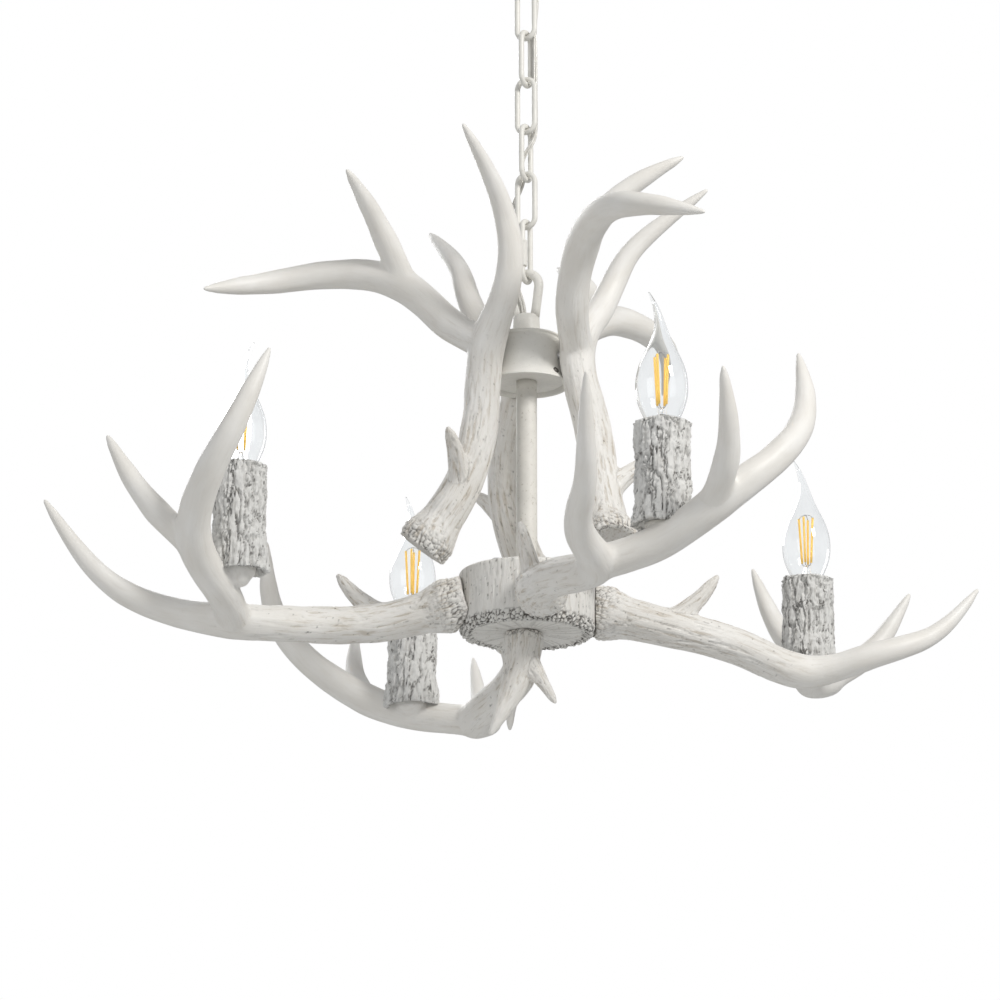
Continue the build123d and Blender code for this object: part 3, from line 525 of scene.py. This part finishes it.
def limbed(name, limbs, lead_in, voxel, bark_until, burr, pads=(), knob=1.7, depth=1.0):
    """Limbs blended into one skin, with bark grooves, a pearled burr and tapering tips.

    burr is where the pearls lie along the beam and how far they spread. knob and depth are the height of
    the pearls and the depth of the grooves.
    """
    forms = [limb_form(limb, lead_in if k == 0 else 0) for k, limb in enumerate(limbs)]
    parts = [rounded_tube(path, radius) for path, radius, _ in forms]
    for x, y, low, high, r in pads:
        post = [(0.3, low), (r * 0.5, low), (r, (low + high) / 2), (r, high), (0.3, high)]
        parts.append(lathe("pad", post, 32, (x, y, 0), closed=False))
    skin = remeshed(joined("limbs", parts), voxel)
    co = coords(skin)
    n = len(co)
    grain, along, size, best = np.zeros((n, 3)), np.zeros(n), np.zeros(n), np.full(n, 1e9)
    for k, (path, radius, far) in enumerate(forms):
        _, u, v = frames(path)
        for first in range(0, n, BLOCK):
            block = co[first:first + BLOCK]
            gap = np.sqrt(((block[:, None, :] - path[None, :, :]) ** 2).sum(-1)) - radius[None, :]
            low = gap.min(1)
            share = np.exp((low[:, None] - gap) / 0.8)
            share /= share.sum(1)[:, None]
            off = block - share @ path
            found = np.stack([(off * (share @ u)).sum(1), (off * (share @ v)).sum(1), share @ far + 37 * k], 1)
            rows = np.nonzero(low < best[first:first + BLOCK])[0]
            best[first + rows] = low[rows]
            grain[first + rows] = found[rows]
            along[first + rows] = (share @ far)[rows]
            size[first + rows] = (share @ radius)[rows]
    # the creases of the forks are evened out
    forks = np.array([limb[0][0] for limb in limbs[1:]], float)
    clear = np.linalg.norm(co[:, None, :] - forks[None, :, :], axis=2).min(1)
    co = soften(skin, co, 0.6 * (1 - smooth(clear, 22, 42)), 36)
    # thin tips come out of the remesh with small dents
    co = soften(skin, co, 0.5 * (1 - smooth(size, 4, 7)), 9)
    set_coords(skin, co)
    normal = vertex_normals(skin)
    bark = 1 - smooth(np.linalg.norm(co - forms[0][0][0], axis=1), bark_until * 0.25, bark_until)
    warp = noise(grain / 14.0, 41)[:, None] * [1.6, 1.6, 0]
    stripes = fractal((grain + warp) * [0.30, 0.30, 0.020], 3, 3)
    cuts = np.clip(0.14 - np.abs(stripes), 0, 0.14) / 0.14
    flutes = noise((grain + warp) * [0.13, 0.13, 0.012], 17)
    lumps = noise(co / 17.0, 11)
    near = np.exp(-((along - burr[0]) / burr[1]) ** 2)
    knobs = pearls(co / 3.9, 5)
    move = 0.4 * lumps * smooth(size, 3, 8) - depth * bark * cuts * (1 - near) + 0.4 * bark * stripes
    move += 0.5 * flutes * smooth(size, 3, 9) * (1 - near) + near * (knob * (knobs - 0.55))
    co = co + normal * (move * (0.3 + 0.7 * smooth(clear, 8, 24)))[:, None]
    skin.name = name
    attribute(skin, "grain", grain)
    attribute(skin, "bark", np.clip(bark * 0.9 + 0.10, 0, 1))
    spots = smooth(noise(grain * [0.45, 0.45, 0.16], 8), 0.25, 0.5)
    pits = near * smooth(0.42 - knobs, 0, 0.3) + bark * cuts ** 2 * 0.55 * spots
    pits += 0.6 * smooth(bark, 0.15, 0.6) * smooth(noise(grain * [0.62, 0.62, 0.4], 77), 0.78, 0.9)
    attribute(skin, "pit", np.clip(pits, 0, 1))
    set_coords(skin, co)
    return skin


def spin(degrees, axis):
    return Matrix.Rotation(math.radians(degrees), 4, axis)


def turn_matrix(roll, pitch, yaw):
    return spin(yaw, "Z") @ spin(pitch, "Y") @ spin(roll, "X")


def ring_matrix(azimuth, roll, droop, toe):
    """Where a ring antler goes: its butt on the drum's side, at an azimuth."""
    return (Matrix.Translation((0, 0, HUB)) @ spin(azimuth, "Z")
            @ Matrix.Translation((48, 0, 0)) @ turn_matrix(roll, -droop, toe))


def crown_matrix(turn, roll, lean, yaw):
    """Where a crown antler goes: stood up beside the rod, then leant about the foot of the bell."""
    z = Vector((-0.731, -0.682, 0.034)).normalized()
    x = Vector((0.131, -0.091, 0.987))
    x = (x - z * x.dot(z)).normalized()
    y = z.cross(x)
    stood = Matrix(((x[0], y[0], z[0], -73.7), (x[1], y[1], z[1], -30.8), (x[2], y[2], z[2], 29.4),
                    (0, 0, 0, 1)))
    pivot = Vector((0, 0, 161))
    return (Matrix.Translation((0, 0, HUB)) @ spin(turn, "Z") @ Matrix.Translation(pivot)
            @ turn_matrix(roll, -lean, yaw) @ Matrix.Translation(-pivot) @ stood)


def moved(co, matrix):
    """Points carried by a matrix."""
    m = np.array(matrix)
    return co @ m[:3, :3].T + m[:3, 3]


# the turns of the two placings above, in degrees
RING = {"left": (-168.3, 4.6, 2.6, 1.5), "front": (-78.3, 4.5, 1.8, 0.4), "right": (11.7, -6.9, -2.5, 2.9),
        "back": (101.7, -2.7, -1.7, 0.0)}
CROWN = {"left": (0, 0.9, -1.1, 3.1), "right": (120, 0.3, 0.7, -2.9), "back": (240, -1.2, 0.4, -0.1)}
# where a candle stands, on its antler and then from the hub's middle
SEATS = {"left": (163.7, 44.2, -6.0), "front": (169.4, 42.6, -8.2), "right": (173.4, 42.3, -12.5),
         "back": (169.6, 42.3, -11.0)}
FEET = {name: tuple(ring_matrix(*RING[name]) @ Vector(seat) - Vector((0, 0, HUB)))
        for name, seat in SEATS.items()}
VOXEL = 1.0
# the right antler's beam ends sooner
WORN = [([*LIMBS[0][0][:-1], (276, -31, 34)], *LIMBS[0][1:]), *LIMBS[1:]]

crown_cast = limbed("crown_cast", LIMBS, 0, VOXEL, BARK_UNTIL, (5, 6.0))
# the butt is sawn off flat
co = coords(crown_cast)
path = limb_form(LIMBS[0], 0)[0]
ahead = (path[1] - path[0]) / np.linalg.norm(path[1] - path[0])
beyond = (co - path[0]) @ ahead
near_butt = np.linalg.norm(co - path[0], axis=1) < 30
co -= ahead * (np.minimum(beyond - 0.8, 0) * near_butt)[:, None]
set_coords(crown_cast, co)
# and its sawn face is evenly stained
face = near_butt * (1 - smooth(beyond, 0.9, 2.0)) * (1 - smooth(np.linalg.norm(co - path[0], axis=1), 13, 16))
pits = np.zeros(len(co))
crown_cast.attributes["pit"].data.foreach_get("value", pits)
crown_cast.attributes["pit"].data.foreach_set("value", (pits * (1 - face) + 0.30 * face).astype(np.float32))
# the bell's outside: heights over the hub's middle, and the radius of its straight side
BELL_FOOT, BELL_FLARE, BELL_HEAD, BELL_SIDE = 161.5, 173.5, 197.2, 25.2
for name, place in CROWN.items():
    mesh = crown_cast.copy()
    mesh.name = f"crown_{name}"
    co = moved(coords(mesh), crown_matrix(*place))
    # the moulding is hollowed where it lies against the bell
    level, reach = co[:, 2] - HUB, np.linalg.norm(co[:, :2], axis=1)
    taper = BELL_SIDE - (level - BELL_FLARE) / 23.3 * 0.9
    flare = BELL_SIDE + np.clip(BELL_FLARE - level, 0, 11.5) * 0.5
    side = np.where(level > BELL_FLARE, taper, flare)
    side = np.where((level > BELL_FOOT) & (level < BELL_HEAD), side + 0.35, 0)
    push = np.maximum(side - reach, 0)
    co[:, :2] += co[:, :2] / reach[:, None] * push[:, None]
    set_coords(mesh, co)
    piece(mesh, ANTLER, "chandelier", [f"crown_antler_{name}"])

COPE = 48.35          # the drum's radius and a cast gap
# the moulded pad under a candle, and the flat cut round the candle's foot
PAD_RADIUS, PAD_DEPTH, SEAT_RADIUS, SEAT_CUT, SEAT_GAP = 12.0, 15, 20.6, 14, 0.1
for name, place in RING.items():
    x, y, high = FEET[name]
    foot = SEATS[name]
    mesh = limbed(f"ring_{name}", WORN if name == "right" else LIMBS, 6, VOXEL, BARK_UNTIL, (4, 6.5),
                  [(foot[0], foot[1], foot[2] - PAD_DEPTH, foot[2] + 1, PAD_RADIUS)])
    co = moved(coords(mesh), ring_matrix(*place))
    # coped to the hub, and cut flat under the candle
    reach = np.linalg.norm(co[:, :2], axis=1)
    co[:, :2] += co[:, :2] / reach[:, None] * np.maximum(COPE - reach, 0)[:, None]
    flat = HUB + high - SEAT_GAP
    under = np.hypot(co[:, 0] - x, co[:, 1] - y) < SEAT_RADIUS
    under &= (co[:, 2] > flat) & (co[:, 2] < HUB + high + SEAT_CUT)
    co[under, 2] = flat
    set_coords(mesh, co)
    piece(mesh, ANTLER, "chandelier", [f"ring_antler_{name}"])


# ---------------------------------------------------------------- hub and finial

LOW, TOP = HUB - HUB_HALF, HUB + HUB_HALF


def grain_of(mesh, middle):
    """Grain coordinates of an upright form: across, across and along its axis."""
    co = coords(mesh) - np.array(middle)
    attribute(mesh, "grain", co)
    return co


def hub_cracks(p):
    """1 in a crack of the drum's resin and 0 beside it, at points p."""
    return np.clip(0.08 - np.abs(fractal(p * [0.42, 0.42, 0.022], 21)), 0, 0.08) / 0.08


def hub_pearls(p):
    return pearls(p / 3.3, 9)


def hub_rays(turn, reach):
    """Rays under the drum, from -1 to 1."""
    return fractal(np.stack([np.cos(turn) * 22, np.sin(turn) * 22, reach * 0.04], -1), 4, 2)


def hub_wobble(r, z, turn):
    """Cracks on the drum's side, pearls on its lower rim and rays under it."""
    p = np.stack([r * np.cos(turn), r * np.sin(turn), z], -1).reshape(-1, 3)
    outer = smooth(r, 44, 47.5) * smooth(z - LOW, 6, 9) * (1 - smooth(z - LOW, 40, 44))
    crack = hub_cracks(p).reshape(r.shape)
    rim = smooth(r, 37.5, 40) * (1 - smooth(z - LOW, 6, 9)) * (z - LOW < 12)
    knob = hub_pearls(p).reshape(r.shape)
    under = (1 - smooth(r, 37, 40)) * (z - LOW < 6) * smooth(r, 6, 12)
    rays = hub_rays(turn.ravel(), r.ravel()).reshape(r.shape)
    lump = noise(p / 13, 2).reshape(r.shape)
    return (outer * (-0.7 * crack + 0.3 * lump) + rim * (knob - 0.7) * 1.5,
            rim * (0.6 - knob) * 1.5 + under * rays * 0.4)


hub_profile = dense(rounded([(4.1, LOW + 3), (17, LOW + 3, 3), (37.5, LOW + 2.4, 3), (41.0, LOW + 0.9, 2),
                             (45.2, LOW + 1.0, 3), (47.2, LOW + 5, 3), (47.8, LOW + 10, 3),
                             (47.8, TOP - 0.5, 5), (42.2, TOP), (42.2, TOP - 2), (35.2, TOP - 2),
                             (35.2, LOW + 10), (4.1, LOW + 10)]), 0.8)
hub = lathe("hub_drum", hub_profile, 360, wobble=hub_wobble)
co = grain_of(hub, (0, 0, HUB))
reach = np.hypot(co[:, 0], co[:, 1])
rim = smooth(reach, 37.5, 40) * (1 - smooth(co[:, 2] + HUB_HALF, 7, 10)) * (co[:, 2] < -11)
under = (reach > 17) * (reach < 38) * (co[:, 2] < -17)
pits = rim * smooth(0.58 - hub_pearls(coords(hub)), 0, 0.22)
pits = pits + (1 - rim) * hub_cracks(coords(hub)) ** 2 * 0.9 * (reach > 44)
pits += under * smooth(-hub_rays(np.arctan2(co[:, 1], co[:, 0]), reach), 0.05, 0.5) * 0.25
attribute(hub, "pit", np.clip(pits, 0, 1))
piece(hub, HUB_RESIN, "chandelier", ["hub"])

FINIAL = [([(-2, 0, LOW + 3), (-4, -1, LOW - 18), (-10, -3, LOW - 38), (-25, -8, LOW - 71)],
           [(0, 14.0), (0.28, 12.0), (0.5, 9.5), (0.8, 5.5), (1, 1.8)], 0.0),
          ([(0, -3, LOW - 16), (9, -8, LOW - 32), (19, -14, LOW - 50)],
           [(0, 7.5), (0.5, 5.2), (0.9, 3.2), (1, 1.8)], 20.0),
          ([(-8, 0, LOW - 30), (-11, 8, LOW - 46), (-12, 16, LOW - 62)],
           [(0, 6.5), (0.5, 4.6), (0.9, 2.8), (1, 1.6)], 35.0)]
mesh = limbed("finial_stub", FINIAL, 0, 0.8, 80, (2, 3), knob=0.5, depth=1.9)
co = coords(mesh)
# its top stays flat against the drum
co[:, 2] = np.minimum(co[:, 2], LOW + 2.8)
set_coords(mesh, co)
piece(mesh, ANTLER, "chandelier", ["finial"])


# ---------------------------------------------------------------- candles and bulbs

def bark_field(p, seed):
    """How deep the bark is cut at points p: 1 in a furrow, 0 on a ridge."""
    warp = np.stack([noise(p / 7.0, seed + 7), noise(p / 7.0, seed + 8), 0 * p[:, 2]], 1) * 1.3
    ridge = np.abs(fractal((p + warp) * [0.33, 0.33, 0.055], seed, 3))
    return np.clip(0.26 - ridge, 0, 0.26) / 0.26


def bark_wobble(seed, drop):
    """Furrows and crumbs on a sleeve's side, a ragged top, and a pearled foot that hangs by a drop."""
    def wobble(r, z, turn):
        p = np.stack([r * np.cos(turn), r * np.sin(turn), z], -1).reshape(-1, 3)
        outer = smooth(r, 15.5, 17.0)
        furrow = bark_field(p, seed).reshape(r.shape)
        lump = noise(p / 8, seed + 5).reshape(r.shape)
        crumb = noise(p / 1.6, seed + 6).reshape(r.shape)
        knob = pearls(p / 4.2, seed).reshape(r.shape) * (1 - smooth(z, 3, 13))
        ragged = noise(np.stack([np.cos(turn).ravel() * 2.3, np.sin(turn).ravel() * 2.3, 0 * z.ravel()], -1),
                       seed + 3).reshape(r.shape)
        top = smooth(z, 64, 69.5) * outer
        foot = (1 - smooth(z, 0, 9)) * outer
        rough = np.maximum(0.9 * lump - 2.8 * furrow ** 1.3 + 0.75 * crumb + 1.35, -2.0)
        return (outer * rough + 1.6 * foot * (knob - 0.3),
                top * (1.1 * ragged - 0.9 + 0.5 * crumb) - foot * (drop + 1.2 * ragged))
    return wobble


def drawn_tail(degrees):
    """The sideways bend of an envelope's drawn-out tail."""
    lean = math.radians(degrees)

    def bend(z):
        t = np.clip((z - 58) / 33, 0, 1) ** 2.2 * 8.0
        return t * math.cos(lean), t * math.sin(lean)
    return bend


TAILS = {"left": 20.0, "front": 190.0, "right": 170.0, "back": 135.0}
DROPS = {"left": 6.0, "front": 2.0, "right": 2.0, "back": 6.0}
# the sleeve's profile stands on its foot, the bulb's on the rim of its cap
NECK = 68.1           # height of that rim over the sleeve's foot
sleeve_profile = dense(rounded([(5.1, 0), (13, 0), (14, 0), (19.0, 0, 0.6), (18.9, 3.5, 1), (17.3, 12, 4),
                                (17.0, 40, 4), (17.2, 69.2, 0.8), (14.4, 69.2, 0.8), (14.4, 5),
                                (5.1, 5)]), 0.75)
envelope = through([(5.3, 0.3, 0), (9.6, 1.5, 0), (13.4, 7, 0), (16.5, 16, 0), (17.4, 27, 0), (15.6, 38, 0),
                    (11.6, 48, 0), (7.0, 58, 0), (4.0, 68, 0), (2.3, 79, 0), (0.5, 90.6, 0)], 90)[:, :2]
inner = [(r - 0.8, z + 0.25) for r, z in envelope[::-1] if r > 1.5]
cap_profile = [(3.0, -23), (3.0, -22.6)]
cap_profile += [(6.35 + 0.5 * math.sin((z + 22) * 2 * math.pi / 2.8), z) for z in np.arange(-21.5, -2.5, 0.35)]
cap_profile += [(6.9, -2.0), (6.9, -0.1)]
stem_profile = rounded([(4.0, 0.4), (3.4, 5, 2), (2.2, 8, 1), (2.0, 10, 1), (0.4, 11.4)])
for k, (name, (x, y, high)) in enumerate(FEET.items()):
    base = (x, y, HUB + high + 0.1)
    seed = 31 + k
    sleeve = lathe(f"sleeve_{name}", sleeve_profile, 200, base, wobble=bark_wobble(seed, DROPS[name]))
    co = grain_of(sleeve, base)
    attribute(sleeve, "pit", np.clip(bark_field(co, seed) - 0.5, 0, 0.4) / 0.4
              * (np.hypot(co[:, 0], co[:, 1]) > 15) * smooth(noise(co / 4, 3), -0.5, 0.2))
    piece(sleeve, SLEEVE, "chandelier", [f"candle_sleeve_{name}"])

    neck = np.array((x, y, base[2] + NECK))
    tail = drawn_tail(TAILS[name])
    outside = lathe(f"bulb_{name}_envelope", [*map(tuple, envelope), (0.05, 90.9)], 56, neck, bend=tail,
                    closed=False)
    hollow = lathe("hollow", inner, 56, neck, bend=tail, closed=False)
    hollow.flip_normals()
    piece(joined(f"bulb_{name}_envelope", [outside, hollow]), GLASS, f"bulb_{name}", [f"bulb_{name}_glass"])

    cap = lathe(f"bulb_{name}_cap", cap_profile, 48, neck, closed=False)
    piece(cap, BRASS, f"bulb_{name}", [f"bulb_{name}_core"])
    stem = lathe(f"bulb_{name}_stem", stem_profile, 32, neck, closed=False)
    piece(stem, GLASS, f"bulb_{name}", ())
    wires, lights = [], []
    for n in range(4):
        a = math.radians(45 + 90 * n + 12 * k)
        out = np.array([math.cos(a), math.sin(a), 0])
        foot, head = neck + out * 3.4 + UP * 13, neck + out * 5.2 + UP * 46.5
        lights.append(tube("stick", np.linspace(foot, head, 6), 0.85, 12))
        below = [neck + out * 0.6 + UP * 10.8, neck + out * 2.6 + UP * 11.4, foot + UP * 0.5]
        above = [head - UP * 0.5, head + UP * 1.6 - out * 1.5, neck + UP * 49]
        wires.append(tube("support", through(below, 12), 0.28, 8))
        wires.append(tube("hook", through(above, 12), 0.25, 8))
    piece(joined(f"bulb_{name}_filaments", lights), FILAMENT, f"bulb_{name}", ())
    piece(joined(f"bulb_{name}_supports", wires), ZINC, f"bulb_{name}", ())


# ---------------------------------------------------------------- chain, bell and rod

def oval(across, top, low, half, count=34):
    """The middle of an oval link's wire, in a plane that holds the axis."""
    up = np.linspace(0, math.pi, count)
    arc = [across * (half * math.cos(a)) + UP * (top - half + half * math.sin(a)) for a in up]
    arc += [across * (-half * math.cos(a)) + UP * (low + half - half * math.sin(a)) for a in up]
    return np.array(arc)


# Wires are given by their middles. They are drawn a touch thinner than they are, and so never overlap.
EYE_LOW, EYE_WIRE, LINK_WIRE, DRAWN_WIRE = -59.0, 2.5, 2.0, 1.98
LINK_SPAN, LINK_HALF, LINK_GAP = 41.0, 7.0, 0.3
QUICK_SPAN, QUICK_HALF = 45.6, 6.0
LINK_COUNT = 5
low, wire = EYE_LOW, EYE_WIRE
for n in range(LINK_COUNT):
    top = low + wire + LINK_WIRE + LINK_GAP
    low, wire = top - LINK_SPAN, LINK_WIRE
    path = oval(E1 if n % 2 == 0 else E2, top, low, LINK_HALF)
    mesh = tube(f"link_{n + 1}", path, DRAWN_WIRE, 24, closed=True)
    piece(mesh, PAINT, f"link_{n + 1}", [f"chain_link_{n + 1}"])
quick_top = low + 4.3
quick_low = quick_top - QUICK_SPAN
quick_middle = (quick_top + quick_low) / 2
loop_top = quick_low + 5.7

# the quick link is open on one side, where its threaded sleeve is
path = oval(-E2, quick_top, quick_low, QUICK_HALF, 40)
gapped = [-E2 * QUICK_HALF + UP * z for z in np.linspace(quick_middle - 5, quick_top - QUICK_HALF, 8)]
gapped += list(path[1:-1])
gapped += [-E2 * QUICK_HALF + UP * z for z in np.linspace(quick_low + QUICK_HALF, quick_middle - 11, 4)]
piece(tube("quick_link_body", gapped, DRAWN_WIRE, 24), PAINT, "quick_link", ["quick_link"])
hexagon = []
for z, r in ((-13, 2.2), (-13, 3.25), (-12.4, 3.62), (6.4, 3.62), (7, 3.25), (7, 2.2)):
    hexagon.append([-E2 * QUICK_HALF + E1 * r * math.cos(a) + E2 * r * math.sin(a) + UP * (quick_middle + z)
                    for a in np.radians(np.arange(6) * 60 + 30)])
sleeve = piece(grid_mesh("quick_sleeve", hexagon, closed_u=True), PAINT, "quick_link_sleeve",
               ["quick_link_sleeve"])
edge = sleeve.modifiers.new("edge", "BEVEL")
edge.width, edge.segments = 0.0002, 2
sleeve.data.polygons.foreach_set("use_smooth", [False] * len(sleeve.data.polygons))

# the loop is a bow and two legs that lean in, on a turned collar
LOOP_WIRE, LOOP_HEIGHT, BOW, COLLAR_HEIGHT, BELL_HEIGHT = 3.4, 35.3, 10, 17.0, 35.3
collar_top = loop_top + LOOP_WIRE - LOOP_HEIGHT
bell_top = collar_top - COLLAR_HEIGHT
bell_low = bell_top - BELL_HEIGHT
centre, lean = loop_top - BOW, math.radians(8)
bow = [E1 * BOW * math.cos(a) + UP * (centre + BOW * math.sin(a))
       for a in np.linspace(-lean, math.pi + lean, 48)]
leg = [bow[0] - (UP * math.cos(lean) + E1 * math.sin(lean)) * d for d in (22, 16, 10, 5)]
other = [bow[-1] - (UP * math.cos(lean) - E1 * math.sin(lean)) * d for d in (5, 10, 16, 22)]
ring = tube("bow", leg + bow + other, 3.36, 28)
collar = lathe("collar", rounded([(3.5, bell_top + 0.1), (9.6, bell_top + 0.1, 0.4), (9.8, bell_top + 3, 1),
                                  (9.3, collar_top - 1, 1.6), (8.4, collar_top, 0.6), (3.5, collar_top)]), 64)
piece(joined("bell_loop", [ring, collar]), PAINT, "chandelier", ["loop"])

outside = [(30.5, bell_low, 0.5), (30.5, bell_low + 1.5, 0.7), (29.0, bell_low + 3.2, 2),
           (26.0, bell_low + 9, 6), (25.0, bell_low + 18, 6), (24.1, bell_top - 2.2, 1),
           (25.3, bell_top - 1.2, 0.6), (25.2, bell_top, 0.7), (5.2, bell_top)]
inside = [(5.2, bell_top - 2), (22.6, bell_top - 2, 1), (23.4, bell_low + 16, 4), (24.6, bell_low + 8, 5),
          (29.0, bell_low + 0.8, 1)]
piece(lathe("bell_cup", rounded(outside + inside), 128), PAINT, "chandelier", ["bell"])
screws = []
for n in range(3):
    a = math.radians(-42 + 120 * n)
    out, side = np.array([math.cos(a), math.sin(a), 0]), np.array([-math.sin(a), math.cos(a), 0])
    spot = UP * (bell_low + 5.5)
    slope = out * 0.9 + UP * 0.42
    slope = slope / np.linalg.norm(slope)
    rise = np.cross(side, slope)
    rings = [[spot + out * 27.5 + slope * d + side * r * math.cos(t) + rise * r * math.sin(t)
              for t in np.linspace(0, 2 * math.pi, 20, endpoint=False)]
             for r, d in ((2.2, -2.0), (2.3, 0.9), (2.0, 1.25), (0.9, 1.35), (0.8, 0.5), (0.1, 0.5))]
    screws.append(grid_mesh("screw", rings, caps=True))
piece(joined("bell_screw_heads", screws), DARK_STEEL, "chandelier", ["bell_screws"])
rod_low, rod_top = TOP + 0.1, bell_low + 2.9
rod = lathe("rod_tube", dense([(6.2, rod_low), (7.35, rod_low), (7.35, rod_top), (6.2, rod_top)], 4), 64)
piece(rod, ROD_PAINT, "chandelier", ["centre_rod"])

canopy_profile = rounded([(5.2, -28), (24, -28, 5), (38, -25.5, 8), (48.7, -19.4, 8), (55, -11, 6),
                          (57.8, -5.5, 4), (57.8, -0.6, 0.5), (57.6, 0), (56.6, 0), (56.4, -5, 3),
                          (47.5, -18, 6), (37, -24, 6), (24, -26.8, 4), (5.2, -26.8)], 8)
piece(lathe("canopy_cup", canopy_profile, 144), PAINT, "ceiling", ["canopy"])
eye = tube("eye", oval(E2, -38.0, EYE_LOW, 10.5, 30), 2.48, 24, closed=True)
turned = lathe("eye_base", rounded([(5.2, -28.2), (9, -28.2, 0.5), (9, -36, 2), (7.2, -38.1, 0.6),
                                    (3.6, -38.1), (3.6, -34), (5.2, -33.9)]), 48)
piece(joined("canopy_eye", [eye, turned]), PAINT, "ceiling", ["ceiling_eye"])


# ---------------------------------------------------------------- leads

# Each point is across the links that face the viewer, towards the viewer, and up.
ROUTE = [(0, 0, -33.0), (0.3, -0.3, -41.0), (4.6, -4.6, -53.0), (5.2, -4.8, -80.0), (4.8, -5.2, -112.0),
         (5.2, -4.8, -140.0), (4.8, -4.9, -168.5), (4.0, -1.2, -177.5), (-4.0, -1.2, -190.5),
         (-4.9, -4.9, -199.5), (-12.0, -3.4, -222.0), (-10.5, 2.0, -248.0), (-5.8, 5.8, -274.0),
         (-5.4, 5.6, -284.0), (-2.2, 1.2, -301.0), (-1.0, 0.0, -316.0)]
PIVOTS = [-59.0, -95.2, -131.9, -168.6, -205.3, -242.0, -283.3]
line = through([E1 * a - E2 * b + UP * z for a, b, z in ROUTE], 640)
_, across, beside = frames(line)
twist = np.linspace(0, 2.2 * math.pi, len(line))
LEAD, BUNDLE = 0.85, 0.98   # a lead's radius, and how far its middle is from the bundle's
# a run goes from halfway above its pivot to halfway below it, with a small lap
ends = [-30.0] + [(a + b) / 2 for a, b in zip(PIVOTS, PIVOTS[1:])] + [-330.0]
for n, pivot in enumerate(PIVOTS):
    rows = (line[:, 2] <= ends[n] + 0.4) & (line[:, 2] >= ends[n + 1] - 0.4)
    wires = []
    for k in range(3):
        a = twist + k * 2 * math.pi / 3
        aside = BUNDLE * (np.cos(a)[:, None] * across + np.sin(a)[:, None] * beside)
        wires.append(tube("wire", (line + aside)[rows], LEAD, 12))
    mesh = joined(f"leads_run_{n + 1}", wires)
    made = piece(mesh, WIRE, None, [f"leads_{n + 1}"] + (["leads_8"] if n == 6 else []))
    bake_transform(made)

# solids that nothing above stands for are drawn as they are
for name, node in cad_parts.items():
    if not node.hide_render:
        finish = PAINT if name in ("bell_base", "hub_plate") else ZINC
        if name.startswith("lampholder"):
            finish = HOLDER
        node.data.materials.clear()
        node.data.materials.append(finish)


# ---------------------------------------------------------------- camera, light and floor

scene = bpy.context.scene
camera = bpy.data.objects.new("camera", bpy.data.cameras.new("camera"))
camera.data.sensor_width = 36
camera.data.lens = 144.08
camera.data.clip_end = 50
camera.location = (-0.0189, -2.7066, -0.7232 + HUB * MM)
camera.rotation_euler = (math.radians(106.464), 0, 0)
scene.collection.objects.link(camera)
scene.camera = camera
scene.view_settings.view_transform = "Standard"

world = bpy.data.worlds.new("studio")
scene.world = world
world.use_nodes = True
tree = world.node_tree
tree.nodes.clear()
# white where the camera sees it, straight or through glass, and a softer light on everything else
out = tree.nodes.new("ShaderNodeOutputWorld")
seen = tree.nodes.new("ShaderNodeBackground")
seen.inputs["Color"].default_value = (1, 1, 1, 1)
seen.inputs["Strength"].default_value = 1.0
soft = tree.nodes.new("ShaderNodeBackground")
soft.inputs["Color"].default_value = (0.97, 0.985, 1.0, 1)
soft.inputs["Strength"].default_value = 0.42
ray = tree.nodes.new("ShaderNodeLightPath")
either = tree.nodes.new("ShaderNodeMixShader")
seen_by = tree.nodes.new("ShaderNodeMath")
seen_by.operation = "MAXIMUM"
tree.links.new(ray.outputs["Is Camera Ray"], seen_by.inputs[0])
tree.links.new(ray.outputs["Is Transmission Ray"], seen_by.inputs[1])
tree.links.new(seen_by.outputs[0], either.inputs[0])
tree.links.new(soft.outputs[0], either.inputs[1])
tree.links.new(seen.outputs[0], either.inputs[2])
tree.links.new(either.outputs[0], out.inputs["Surface"])


def lamp(name, place, power, size, colour=(1, 1, 1)):
    """A square soft light that points at the hub."""
    made = bpy.data.objects.new(name, bpy.data.lights.new(name, "AREA"))
    made.data.energy, made.data.size, made.data.color = power, size, colour
    made.location = place
    made.rotation_euler = (Vector((0, 0, HUB * MM)) - Vector(place)).to_track_quat("-Z", "Y").to_euler()
    scene.collection.objects.link(made)


lamp("key", (1.5, -1.7, 0.9), 46, 0.7, colour=(1.0, 0.985, 0.96))
lamp("fill", (-1.9, -1.6, -0.2), 9, 1.4)
lamp("rim", (-0.7, 1.8, 0.6), 16, 1.0)

FLOOR_HALF, FLOOR_HIGH = 40, -2.3
floor = bpy.data.meshes.new("floor")
corners = [(x * FLOOR_HALF, y * FLOOR_HALF, FLOOR_HIGH) for x, y in ((-1, -1), (1, -1), (1, 1), (-1, 1))]
floor.from_pydata(corners, [], [(0, 1, 2, 3)])
# it glows for the camera alone, so that it runs into the white behind it
ground = Shader("pale_floor")
cloud = ground.noise(ground.coordinates(), 3.0)
ground.set(Base_Color=ground.mix(cloud, (0.84, 0.84, 0.83), (0.88, 0.88, 0.87)), Roughness=0.8)
glow = ground.node("ShaderNodeEmission", {"Color": (0.985, 0.985, 0.98, 1), "Strength": 1.0})
shown = ground.math("MULTIPLY", ground.node("ShaderNodeLightPath").outputs["Is Camera Ray"], 0.92)
blend = ground.node("ShaderNodeMixShader", {0: shown})
ground.tree.links.new(ground.body.outputs[0], blend.inputs[1])
ground.tree.links.new(glow.outputs[0], blend.inputs[2])
ground.tree.links.new(blend.outputs[0], ground.tree.nodes["Material Output"].inputs["Surface"])
floor.materials.append(ground.material)
floor_object = bpy.data.objects.new("floor", floor)
scene.collection.objects.link(floor_object)
